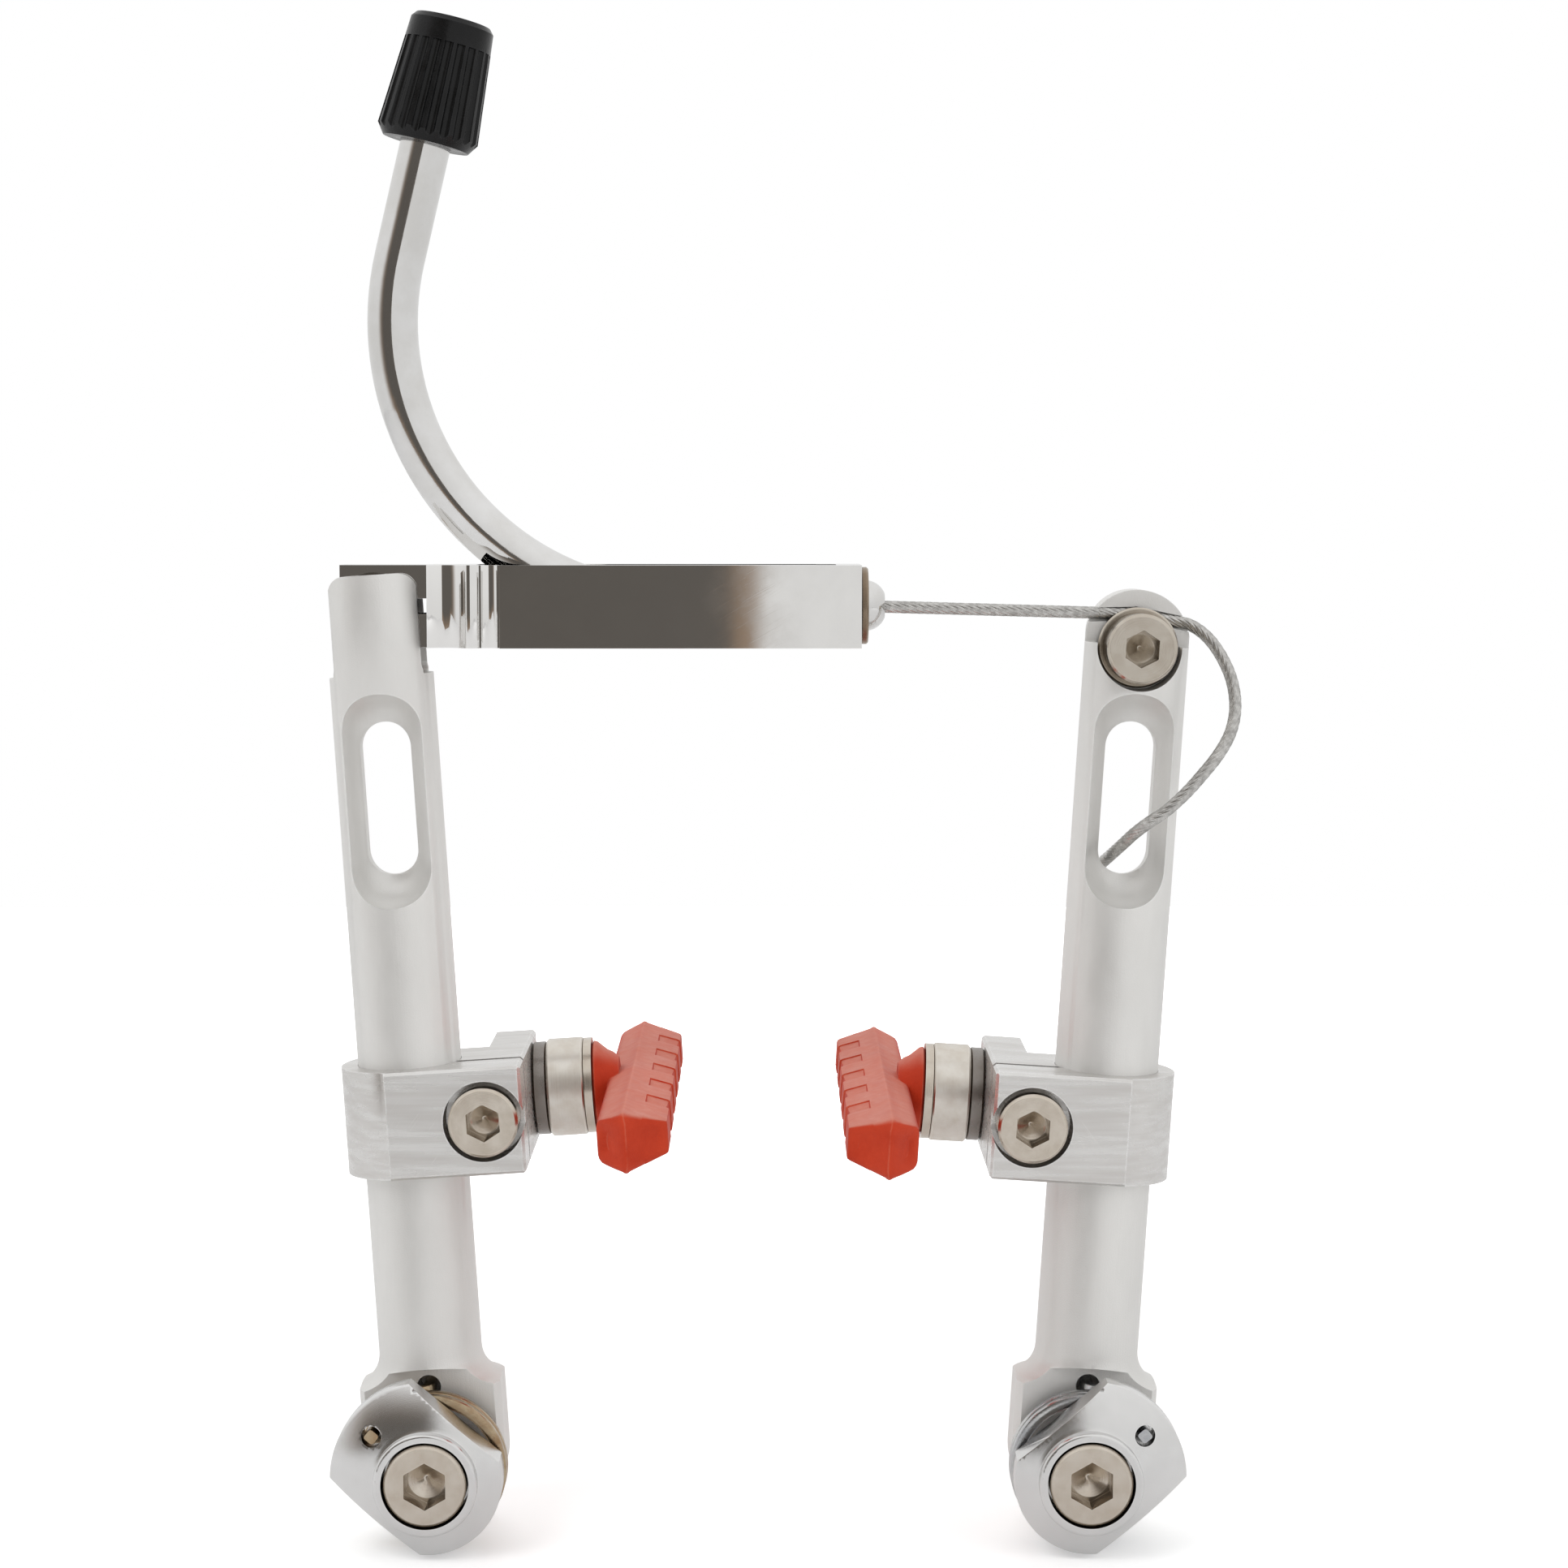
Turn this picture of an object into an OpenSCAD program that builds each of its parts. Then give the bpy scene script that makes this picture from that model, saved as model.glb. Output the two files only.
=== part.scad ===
// Linear-pull bicycle rim brake: two pivoting arms, link, bent noodle tube, pads and cable.
// Millimetres. X runs from one arm to the other, Y away from the viewer, Z up.
// The origin lies midway between the two arm pivots.

/* [Pivots] */
// Distance between the two frame bosses
pivot_spacing = 80; // [76:1:84]
// Lean of each arm away from the wheel, in degrees
arm_lean = 3.6; // [2:0.1:5]
// Diameter of the frame boss that a bush slides on
boss_d = 8; // [7:0.1:9]
// Outer diameter of the bush
bush_d = 12; // [11:0.1:13]
// Thread size of the pivot bolt
pivot_bolt_d = 6; // [5:0.5:6.5]
// Head diameter of the pivot bolt
pivot_head_d = 10; // [9:0.1:10.4]
// Hex key size of the pivot bolt
pivot_hex = 5; // [4:0.5:6]

/* [Arms] */
// Diameter of the round bar
arm_d = 12.7; // [12:0.1:14.5]
// Diameter of the turned foot round the pivot
foot_d = 18.6; // [17:0.1:20]
// Width of the foot across its milled sides
foot_w = 17.4; // [16.6:0.1:18.4]
// Height of the foot above the pivot
foot_h = 9; // [8:0.1:11]
// Distance from the arm's axis to the front flat of the foot
foot_front = 4.8; // [4:0.1:5.6]
// Distance from the arm's axis to the rear flat of the foot
foot_back = 8.2; // [7:0.1:9]
// Height of the middle of the long slot
slot_z = 81.6; // [76:0.1:84]
// Width of the slot where it goes right through
slot_w = 6.2; // [5:0.1:7.4]
// Length of the slot where it goes right through
slot_len = 18.8; // [12:0.1:22]
// Length of the rounded pocket round the slot
pocket_len = 26.1; // [22:0.1:28]
// Width of the fork gap at the top of the left arm
fork_gap = 6.9; // [5.6:0.1:7.6]
// Height of the fork's floor
fork_floor = 96.7; // [96:0.1:99]
// Height of the fork's top
fork_top = 109; // [107:0.1:112]
// Height of the right arm's round top
right_top = 107.1; // [106.6:0.1:109]

/* [Link] */
// Distance from the arm pivot to the link pivot along the left arm
link_pivot_z = 105.2; // [104:0.1:106.4]
// Height of the link bar
link_h = 10; // [9.4:0.1:11]
// Length of the link from its pivot to its far end
link_len = 59.1; // [57:0.1:62]
// Diameter of the shoulder screw in the link pivot
link_screw_d = 5; // [4:0.1:5.6]

/* [Noodle] */
// Outer diameter of the noodle tube
noodle_d = 6.1; // [5.4:0.1:6.2]
// Inner diameter of the noodle liner
liner_bore_d = 3; // [2.8:0.1:3.2]
// Radius of the noodle's bend
bend_r = 34.1; // [30:0.1:38]
// Turn of the bend, in degrees
bend_angle = 103.4; // [90:0.1:110]
// Straight length from the end of the bend to the cap
neck_len = 14; // [8:0.1:20]
// Length of the cap
cap_len = 15.1; // [14:0.1:18]
// Diameter of the cable housing that the cap takes
housing_d = 5; // [4:0.1:6]

/* [Tension cap] */
// Distance across the spanner flats
cap_flats = 15; // [14.6:0.1:16.5]
// Radius of the lobe that holds the spring
lobe_r = 11.8; // [10.6:0.1:13]
// Radius of the plain side
plain_r = 9.1; // [8.6:0.1:9.6]
// Direction of the lobe, in degrees from the inboard side
lobe_angle = 140; // [120:1:160]

/* [Springs] */
// Side of the square spring wire
wire_w = 1.65; // [1.3:0.05:1.7]
// Outer radius of the coil
coil_r = 9.4; // [9.2:0.05:9.8]

/* [Pad clamps] */
// Height of the left pad clamp above its pivot
left_clamp_z = 42.3; // [26:0.1:55]
// Height of the right pad clamp above its pivot
right_clamp_z = 41.5; // [26:0.1:55]
// Height of a clamp block
clamp_h = 13.2; // [12.4:0.1:16]
// Wall of the clamp round the arm
clamp_wall = 2; // [1.6:0.1:3]
// Metal between the arm's bore and the clamp bolt's hole
bolt_wall = 0.5; // [0.3:0.1:2]
// Distance from the clamp bolt to the clamp's end face
clamp_end = 4.8; // [4.6:0.1:7]
// Gap between the clamp's round wall and the pad nut
nut_gap = 0.2; // [0.1:0.1:2]
// Thickness of the plate that the pad post passes through
plate_t = 5; // [4:0.1:5.4]

/* [Pads] */
// Length of a pad
pad_len = 72; // [50:1:80]
// Height of a pad at its seam
pad_h = 7.3; // [7:0.1:12]
// Height of the friction face
pad_face_h = 4.2; // [3.4:0.1:7]
// Thickness from the pad's back to its friction face
pad_t = 8.4; // [7.6:0.1:10]
// How far the pad's middle sits below its post
pad_drop = 1.2; // [0:0.1:1.4]

/* [Cable] */
// Diameter of the brake cable
cable_d = 1.5; // [1.2:0.1:1.6]
// Height of the anchor bolt along the right arm
anchor_z = 100.1; // [99:0.1:101]
// Height of the cable above the anchor bolt
cable_rise = 4.1; // [4:0.1:4.3]

/* [Hidden] */
$fn = 64;

// Clearances
run_gap = 0.05;      // between a shaft and its bore, and between faces that slide
boss_gap = 0.2;      // between the frame boss and the bush
bolt_gap = 0.25;     // round a bolt's shank in a plain hole
past = 1;            // how far a cut runs past the surface it opens

// Arms, in the arm's own frame: pivot at the origin, Z along the bar, X towards the wheel
arm_r = arm_d / 2;
foot_r = foot_d / 2;
flare_r = 4;                                   // fillet from the bar into the foot
flare_dz = sqrt(pow(flare_r, 2) - pow(flare_r - (foot_r - arm_r), 2));
flare_top = foot_h + flare_dz;
front_arc_r = 18;                              // curve of the front flat's upper edge
front_arc_top = 11.7;
pocket_r = 4.95;
pocket_y = 5.2;
pocket_half = pocket_len / 2 - sqrt(pow(pocket_r, 2) - pow(arm_r - pocket_y, 2));
fork_fillet = 1.2;
cheek_half = 5.45;
cheek_corner = 2.3;
right_round = arm_r + 0.1;
flat_y = -0.25;                                // milled flat behind the anchor washer
recess_r = 5.15;
spring_hole_r = wire_w / sqrt(2) + 0.3333;
spring_hole_z = 9.1;

// Pivot hardware, along Y
bush_r = bush_d / 2;
bush_bore_r = boss_d / 2 + boss_gap;
bush_front = -10.1;
bush_back = foot_back + 0.2;
cap_front = -16.3;
cap_back = -10.2;
cap_floor = -11.5;
hub_back = -8.2;
hub_r = cap_flats / 2 - 0.2;
collar_r = 6.3;
collar_edge = 0.4;
dome_r = 18;
dome_x = 2.5;
dome_rise = 0.9;
spring_pin_r = coil_r - wire_w / 2;            // where the spring's ends lie
spring_bore_r = wire_w / sqrt(2) + 0.0833;     // the square wire's corners clear the hole
spring_step = 0.3;                             // the rear end sits this much further out
spring_start = cap_front + 1.9;
spring_end = -1.2;
pivot_head_front = -16.5;
pivot_tip = 5.5;
thread_start = -9.9;

// Links and fork, in the link's own frame: link pivot at the origin
link_x = -pivot_spacing / 2 - link_pivot_z * sin(arm_lean);
link_z = link_pivot_z * cos(arm_lean);
link_half = arm_r;
washer_gap = 0.02;                             // beside each thin washer
link_washer_t = 0.45;
link_washer_r = 4.1;
tongue_half = fork_gap / 2 - link_washer_t - 2 * washer_gap;
tongue_left = 4.1;
shoulder_x = 6.6;
body_x = 15.5;
bend_x = 36.4;                                 // where the bend starts, from the link pivot
noodle_exit = bend_r - link_h / 2 - 4.975;     // the tube's middle is clear of the link from here up
channel_left = bend_x - sqrt(pow(bend_r, 2) - pow(noodle_exit, 2));
wall_x = link_len - 3;                         // inner face of the link's end wall
noodle_r = noodle_d / 2;
channel_r = noodle_r + 0.15;
collar_out_r = 3.9;
collar_t = 2;
disc_t = 0.9;
disc_r = 4.7;
nose_len = 2.1;
tube_wall = 1;
liner_gap = 0.03;
liner_r = noodle_r - tube_wall - liner_gap;
joint_lap = 0.3;
joint_step = 0.01;
tube_in_cap = 6;
cap_tilt = bend_angle - 90;
screw_head_r = 4;
screw_head_t = 2.2;

// Pad clamp, in the arm's frame
clamp_front = -8.8;
clamp_flat_x = -2.3;
clamp_rear = 7.5;
clamp_bore_r = arm_r + run_gap;
clamp_out_r = arm_r + clamp_wall + run_gap;
slit_y = -2.4;
slit_t = 1;
plate_half = 6.3;
edge = 0.35;                                   // small chamfer on milled edges
m5_r = 2.5;
m5_head_r = 4.25;
m5_head_t = 5;
m5_bore_r = 4.9;
m5_hex = 4;
bore_floor = -4.8;
nut_r = 4.4;
clamp_bolt_x = clamp_bore_r + m5_r + bolt_wall;
clamp_reach = clamp_bolt_x + clamp_end;        // from the arm's axis to the end face
stud_y = clamp_out_r + nut_r + nut_gap;        // how far the pad post lies behind the arm's axis

// Washers and post, by distance from the arm's axis
post_r = 3;
post_hole_r = post_r + 0.3;
spacer_t = 1.8;
spacer_r = 5.9;
cup_t = 4.7;
cup_r = 6.2;
ball_t = 1;
ball_r = 6.05;
ball_sphere = 8;
neck_t = 1.9;
x_spacer = clamp_reach + run_gap;
x_cup = x_spacer + spacer_t;
x_ball = x_cup + cup_t;
x_neck = x_ball + ball_t;
x_pad = x_neck + neck_t;
x_plate = clamp_reach - plate_t - run_gap;
outer_cup_t = 2.2;
outer_r = 5.3;
outer_ball_t = 1;
outer_sphere = 7;
x_nut = x_plate - outer_cup_t - outer_ball_t;
nut_t = 4.8;
nut_hex = 5;
nut_socket = 2;
post_short = 2.6;                              // how far the post stops inside the nut
backing = [62, 4.6, 1.4];                      // plate moulded into the pad

// Cable
cable_r = cable_d / 2;
anchor_x = pivot_spacing / 2 + anchor_z * sin(arm_lean);
cable_z = anchor_z * cos(arm_lean) + cable_rise;
cable_hinge_x = anchor_x - 4.7;                // where the cable enters its groove in the arm
cable_hinge_z = cable_z + 0.1;
hinge_gap = 0.1;
nose_sag = 0.15;                               // how far the cable sits low in the noodle's end
run_start_x = 5;
groove_w = cable_d + 0.2;
groove_floor = cable_r + 0.05;
groove_fall = 12;                              // slope of the groove's outboard half, degrees
washer_t = 1;
washer_r = 4.9;
washer_back = -cable_r - 0.05;
washer_front = washer_back - washer_t;
// Route of the loose end: through the groove, round in a loop, then back through the slot
tail_points = [
    [41.7, 0, 104.1], [44, 0, 104], [46.3, 0, 104], [48.4, 0, 103.5], [50.5, -0.1, 103.1],
    [52.8, -0.7, 102.6], [54.9, -1.6, 101], [56.6, -2.6, 98.4], [57.6, -3.6, 95.6],
    [57.8, -4.7, 92.6], [57.1, -5.8, 89.8], [55.6, -6.8, 87.3], [53.6, -7.5, 84.9],
    [51.4, -7.8, 82.5], [49.1, -7.7, 80.4], [47.2, -7, 79], [45.7, -5.5, 77.6],
    [44.6, -3.5, 76.2], [43.8, -1.2, 75], [43.2, 1.1, 74], [42.4, 3.4, 72.8],
    [41.4, 5.8, 71.2], [41, 8.2, 69.4], [41, 10.6, 67.6], [41, 12, 66.55]
];
end_cap_start = 22;                            // the point where the end cap begins
end_cap_len = 7;
end_cap_r = 1.2;

silver = [0.78, 0.78, 0.76];
bright = [0.86, 0.86, 0.86];
steel = [0.62, 0.6, 0.56];
dark = [0.36, 0.35, 0.33];
gold = [0.6, 0.48, 0.27];
rubber_red = [0.83, 0.25, 0.16];
black = [0.06, 0.06, 0.06];
ptfe = [0.9, 0.9, 0.86];

// Placing
module on_left() { translate([-pivot_spacing / 2, 0, 0]) children(); }
module on_right() { mirror([1, 0, 0]) on_left() children(); }
module lean() { rotate([0, -arm_lean, 0]) children(); }
module on_post(height) { translate([0, stud_y, height]) rotate([0, 90, 0]) children(); }
module at_link() { translate([link_x, 0, link_z]) children(); }

// A flat outline in X and Z, made solid between two depths
module slab(y0, y1) {
    translate([0, y1, 0]) rotate([90, 0, 0]) linear_extrude(height = y1 - y0) children();
}
module rod_y(r, y0, y1) {
    translate([0, y1, 0]) rotate([90, 0, 0]) cylinder(r = r, h = y1 - y0);
}
// A profile of radius and depth, turned about Y, with depth 0 at the front
module turned_y(y_front) {
    translate([0, y_front, 0]) rotate([-90, 0, 0]) rotate_extrude() children();
}
module stadium(w, len) {
    square([w, len - w], center = true);
    for (s = [-1, 1]) translate([0, s * (len - w) / 2]) circle(d = w);
}
module hex_socket(size, y0, y1) {
    slab(y0, y1) rotate(30) circle(r = size / 2 / cos(30), $fn = 6);
}

// Sweep of a ring of points along a path, each ring given by its middle and two half axes
function ring(p, u, v, n) =
    [for (i = [0:n - 1]) let (a = 360 * (i + 0.5) / n) p + u * cos(a) + v * sin(a)];
module swept(rings) {
    n = len(rings[0]);
    m = len(rings);
    points = [for (r = rings, p = r) p];
    sides = [for (j = [0:m - 2], i = [0:n - 1])
        [j * n + i, j * n + (i + 1) % n, (j + 1) * n + (i + 1) % n, (j + 1) * n + i]];
    polyhedron(points = points, faces = concat(
        sides, [[for (i = [n - 1:-1:0]) i]], [[for (i = [0:n - 1]) (m - 1) * n + i]]));
}
function unit(v) = v / norm(v);
function tangent(pts, i) = unit(pts[min(i + 1, len(pts) - 1)] - pts[max(i - 1, 0)]);
module cord_tube(pts, r, n) {
    // the second axis stays square to Y, so the rings don't twist
    swept([for (i = [0:len(pts) - 1])
        let (t = tangent(pts, i), u = unit(cross(t, [0, 1, 0.2])), v = cross(t, u))
            ring(pts[i], u * r, v * r, n)]);
}

// Bolts point along +Y: head from y_front, shank to y_tip
module cap_bolt(head_r, head_t, shank_r, hex, y_front, y_tip, hex_depth) {
    chamfer = 0.35;
    difference() {
        turned_y(y_front) polygon([
            [0, 0], [head_r - chamfer, 0], [head_r, chamfer], [head_r, head_t], [shank_r, head_t],
            [shank_r, y_tip - y_front - chamfer], [shank_r - chamfer, y_tip - y_front],
            [0, y_tip - y_front]
        ]);
        hex_socket(hex, y_front - past, y_front + hex_depth);
        turned_y(y_front + hex_depth) polygon([[0, -0.1], [hex / 2 - 0.1, -0.1], [0, hex / 4]]);
    }
}

// Arms
module bar_profile(top) {
    translate([0, -foot_r - past]) square([foot_r, foot_h + foot_r + past]);
    square([arm_r, top]);
    difference() {
        translate([0, foot_h - 0.5]) square([foot_r, flare_dz + 0.5]);
        translate([arm_r + flare_r, flare_top]) circle(r = flare_r);
    }
}
module foot_outline() {
    circle(d = foot_w);
    translate([-foot_w / 2, 0]) square([foot_w, fork_floor]);
}
module pocket() {
    rotate_extrude() intersection() {
        translate([0, -pocket_half - pocket_r]) square([pocket_r, 2 * (pocket_half + pocket_r)]);
        union() {
            translate([0, -pocket_half]) square([pocket_r, 2 * pocket_half]);
            for (s = [-1, 1]) translate([0, s * pocket_half]) circle(r = pocket_r);
        }
    }
}
module arm_cuts() {
    // front flat with its curved upper edge
    translate([0, 0, front_arc_top - front_arc_r])
        rod_y(front_arc_r, -foot_r - past, -foot_front);
    translate([-foot_r - past, foot_back, -foot_r - past])
        cube([2 * (foot_r + past), foot_r, 2 * foot_r + foot_h]);
    rod_y(bush_r + run_gap, -foot_r - past, foot_r + past);
    translate([0, 0, spring_hole_z]) rod_y(spring_hole_r, -foot_r, 0.2);
    translate([0, 0, slot_z]) {
        slab(-arm_r - past, arm_r + past) stadium(slot_w, slot_len);
        for (s = [-1, 1]) translate([0, s * pocket_y, 0]) pocket();
    }
}
module left_arm() {
    screw_seat = arm_r - 1.4;
    color(silver) on_left() lean() difference() {
        intersection() {
            rotate_extrude() bar_profile(fork_top);
            slab(-foot_r - past, foot_r + past) {
                foot_outline();
                translate([-cheek_half, foot_h])
                    square([2 * cheek_half, fork_top - foot_h - cheek_corner]);
                translate([-cheek_half + cheek_corner, foot_h])
                    square([2 * (cheek_half - cheek_corner), fork_top - foot_h]);
                for (s = [-1, 1])
                    translate([s * (cheek_half - cheek_corner), fork_top - cheek_corner])
                        circle(r = cheek_corner);
            }
        }
        arm_cuts();
        // fork gap with rounded floor corners, drawn in Y and Z
        rotate([90, 0, 90]) translate([0, 0, -foot_r]) linear_extrude(height = 2 * foot_r) {
            translate([-fork_gap / 2, fork_floor + fork_fillet]) square([fork_gap, 30]);
            translate([-fork_gap / 2 + fork_fillet, fork_floor])
                square([fork_gap - 2 * fork_fillet, 30]);
            for (s = [-1, 1])
                translate([s * (fork_gap / 2 - fork_fillet), fork_floor + fork_fillet])
                    circle(r = fork_fillet);
        }
        translate([0, 0, link_pivot_z]) {
            rod_y(link_screw_d / 2 + run_gap, 0, arm_r + past);
            rod_y(link_screw_d / 2 - 0.45, -fork_gap / 2 - 2.2, 0);
            rod_y(screw_head_r + 0.15, screw_seat, arm_r + past);
        }
    }
}
module right_arm() {
    color(silver) on_right() lean() difference() {
        intersection() {
            rotate_extrude() bar_profile(right_top);
            slab(-foot_r - past, foot_r + past) {
                foot_outline();
                translate([-right_round, foot_h])
                    square([2 * right_round, right_top - foot_h - right_round]);
                translate([0, right_top - right_round]) circle(r = right_round);
            }
        }
        arm_cuts();
        translate([-foot_r, -foot_r, anchor_z + 0.35]) cube([2 * foot_r, foot_r + flat_y, 30]);
        translate([0, 0, anchor_z]) {
            rod_y(recess_r, -foot_r, flat_y);
            rod_y(m5_r, -foot_r, foot_r);
            // groove for the cable: level on the inboard side, falling on the outboard side
            rotate([0, arm_lean, 0]) translate([0, 0, cable_rise]) {
                rotate([0, 1, 0]) translate([0, flat_y - past, -groove_w / 2])
                    cube([foot_r, groove_floor - flat_y + past, groove_w]);
                rotate([0, -groove_fall, 0]) translate([-foot_r, flat_y - past, -groove_w / 2])
                    cube([foot_r + 0.4, groove_floor - flat_y + past, groove_w]);
            }
        }
    }
}

// Pivot hardware
module pivot_bush() {
    color(steel) difference() {
        rod_y(bush_r, bush_front, bush_back);
        rod_y(bush_bore_r, bush_front - past, bush_back + past);
    }
}
module pivot_bolt() {
    neck_r = pivot_bolt_d / 2 - 0.15;
    head_t = cap_floor - pivot_head_front;
    color(steel) {
        difference() {
            union() {
                turned_y(pivot_head_front) polygon([
                    [0, 0], [pivot_head_d / 2 - 0.4, 0], [pivot_head_d / 2, 0.4],
                    [pivot_head_d / 2, head_t], [neck_r, head_t],
                    [neck_r, thread_start - pivot_head_front], [0, thread_start - pivot_head_front]
                ]);
                rod_y(pivot_bolt_d / 2, thread_start, pivot_tip);
            }
            hex_socket(pivot_hex, pivot_head_front - past, pivot_head_front + 3);
            turned_y(pivot_head_front + 3)
                polygon([[0, -0.1], [pivot_hex / 2 - 0.1, -0.1], [0, 1.2]]);
        }
    }
}
module cap_outline() {
    intersection() {
        union() {
            circle(r = plain_r);
            intersection() {
                circle(r = lobe_r);
                rotate(lobe_angle) translate([0, -lobe_r]) square([2 * lobe_r, 2 * lobe_r]);
            }
        }
        rotate(lobe_angle) square([3 * lobe_r, cap_flats], center = true);
    }
}
module tension_cap() {
    bore_r = pivot_head_d / 2 + 0.3;
    depth = cap_back - cap_front;
    color(bright) difference() {
        union() {
            intersection() {
                turned_y(cap_front) {
                    square([collar_r - collar_edge, depth]);
                    translate([0, collar_edge]) square([collar_r, depth - collar_edge]);
                    translate([collar_r - collar_edge, collar_edge]) circle(r = collar_edge);
                    intersection() {
                        translate([0, dome_rise]) square([lobe_r + past, depth - dome_rise]);
                        translate([dome_x, dome_r + dome_rise]) circle(r = dome_r);
                    }
                }
                slab(cap_front - past, cap_back) cap_outline();
            }
            rod_y(hub_r, cap_back - past, hub_back);
        }
        rod_y(bore_r, cap_front - past, cap_floor);
        rod_y(pivot_bolt_d / 2 + bolt_gap, cap_front, hub_back);
        rod_y(bush_r + run_gap, bush_front, hub_back + past);
        rotate([0, -lobe_angle, 0]) translate([spring_pin_r, 0, 0])
            rod_y(spring_bore_r, cap_front - past, cap_back + past);
    }
}
// Spring: a square wire with one end in the cap, two turns and a bit, and one end in the arm
module return_spring(tint) {
    turns = 2 + (lobe_angle - 90 - arm_lean) / 360;
    steps = 26;
    half = wire_w / 2;
    front = cap_back + run_gap + half;
    back = -foot_front - run_gap - half;
    rise = (back - front) / turns;
    last = ceil(turns * steps);
    function radial(a) = [cos(a), 0, sin(a)];
    function along(a) = [sin(a), 0, -cos(a)];
    function square_ring(p, u, v) = [p + u + v, p - u + v, p - u - v, p + u - v];
    function at(a, r, y) = radial(a) * r + [0, y, 0];
    tip = lobe_angle - 360 * turns;
    color(tint) swept(concat(
        [
            square_ring(at(lobe_angle, spring_pin_r, spring_start),
                radial(lobe_angle) * half, along(lobe_angle) * half),
            square_ring(at(lobe_angle, spring_pin_r, front), radial(lobe_angle) * half,
                (along(lobe_angle) - [0, 1, 0]) * half)
        ],
        [for (i = [1:last - 1])
            let (a = lobe_angle - 360 * turns * i / last, y = front + rise * turns * i / last)
                square_ring(at(a, spring_pin_r, y), radial(a) * half, [0, -half, 0])],
        [
            square_ring(at(tip, spring_pin_r + spring_step, back), radial(tip) * half,
                (along(tip) - [0, 1, 0]) * half),
            square_ring(at(tip, spring_pin_r + spring_step, spring_end), radial(tip) * half,
                along(tip) * half)
        ]
    ));
}

// Pad clamp
module clamp_outline() {
    difference() {
        union() {
            circle(r = clamp_out_r);
            translate([clamp_flat_x, clamp_front])
                square([clamp_reach - clamp_flat_x, -clamp_front]);
            square([clamp_reach, clamp_rear]);
            translate([clamp_reach - plate_t, 0]) square([plate_t, stud_y + plate_half]);
        }
        circle(r = clamp_bore_r);
        translate([0, slit_y - slit_t / 2]) square([clamp_reach + past, slit_t]);
    }
}
module pad_clamp(height) {
    color(silver) lean() translate([0, 0, height]) difference() {
        translate([0, 0, -clamp_h / 2]) linear_extrude(height = clamp_h) clamp_outline();
        // chamfers along the front block's edges
        for (s = [-1, 1]) translate([0, clamp_front, s * clamp_h / 2]) rotate([45, 0, 0])
            cube([4 * clamp_reach, edge * sqrt(2), edge * sqrt(2)], center = true);
        translate([clamp_reach, clamp_front, 0]) rotate([0, 0, 45])
            cube([edge * sqrt(2), edge * sqrt(2), 2 * clamp_h], center = true);
        for (s = [-1, 1]) translate([clamp_reach, 0, s * clamp_h / 2]) rotate([0, 45, 0])
            cube([edge * sqrt(2), 4 * stud_y, edge * sqrt(2)], center = true);
        translate([clamp_bolt_x, 0, 0]) {
            rod_y(m5_bore_r, clamp_front - past, bore_floor);
            rod_y(m5_r + bolt_gap, clamp_front - past, slit_y);
            rod_y(m5_r, slit_y, clamp_rear + past);
        }
        on_post(0) translate([0, 0, clamp_reach - plate_t - past])
            cylinder(r = post_hole_r, h = plate_t + 2 * past);
    }
}
module clamp_bolt(height) {
    color(steel) lean() translate([clamp_bolt_x, 0, height])
        cap_bolt(m5_head_r, m5_head_t, m5_r - run_gap, m5_hex, bore_floor - m5_head_t,
            clamp_rear - 0.5, 2.6);
}

// Stack on the pad post, each piece turned about the post
module ring_on_post(height, x0, x1, r, bore) {
    bevel = 0.25;
    lean() on_post(height) rotate_extrude() polygon([
        [bore, x0], [r - bevel, x0], [r, x0 + bevel], [r, x1 - bevel], [r - bevel, x1], [bore, x1]
    ]);
}
module spacer_washer(height) {
    color(dark) ring_on_post(height, x_spacer, x_cup, spacer_r, post_hole_r);
}
// Cup washer: a ring with a round hollow that the ball washer's round face tilts in
module cup_washer(height) {
    seat_x = x_ball + sqrt(pow(ball_sphere, 2) - pow(ball_r - 0.3, 2));
    color(silver) difference() {
        ring_on_post(height, x_cup, x_ball - run_gap, cup_r, post_hole_r);
        lean() on_post(height) translate([0, 0, seat_x]) sphere(r = ball_sphere + run_gap);
    }
}
module ball_washer(height) {
    seat_x = x_ball + sqrt(pow(ball_sphere, 2) - pow(ball_r - 0.3, 2));
    color(steel) lean() on_post(height) rotate_extrude() difference() {
        union() {
            translate([0, x_ball]) square([ball_r, ball_t]);
            intersection() {
                translate([0, seat_x]) circle(r = ball_sphere);
                translate([0, x_cup]) square([ball_r, cup_t]);
            }
        }
        translate([0, x_cup - past]) square([post_hole_r, cup_t + ball_t + 2 * past]);
    }
}
module outer_cup_washer(height) {
    x0 = x_plate - outer_cup_t;
    seat_x = x0 - sqrt(pow(outer_sphere, 2) - pow(outer_r - 0.2, 2));
    color(silver) difference() {
        ring_on_post(height, x0 + run_gap, x_plate, outer_r, post_hole_r);
        lean() on_post(height) translate([0, 0, seat_x]) sphere(r = outer_sphere + run_gap);
    }
}
module outer_ball_washer(height) {
    x0 = x_plate - outer_cup_t;
    seat_x = x0 - sqrt(pow(outer_sphere, 2) - pow(outer_r - 0.2, 2));
    color(steel) lean() on_post(height) rotate_extrude() difference() {
        union() {
            translate([0, x0 - outer_ball_t]) square([outer_r, outer_ball_t]);
            intersection() {
                translate([0, seat_x]) circle(r = outer_sphere);
                translate([0, x0]) square([outer_r, outer_cup_t]);
            }
        }
        translate([0, x0 - outer_ball_t - past])
            square([post_hole_r, outer_cup_t + outer_ball_t + 2 * past]);
    }
}
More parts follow.
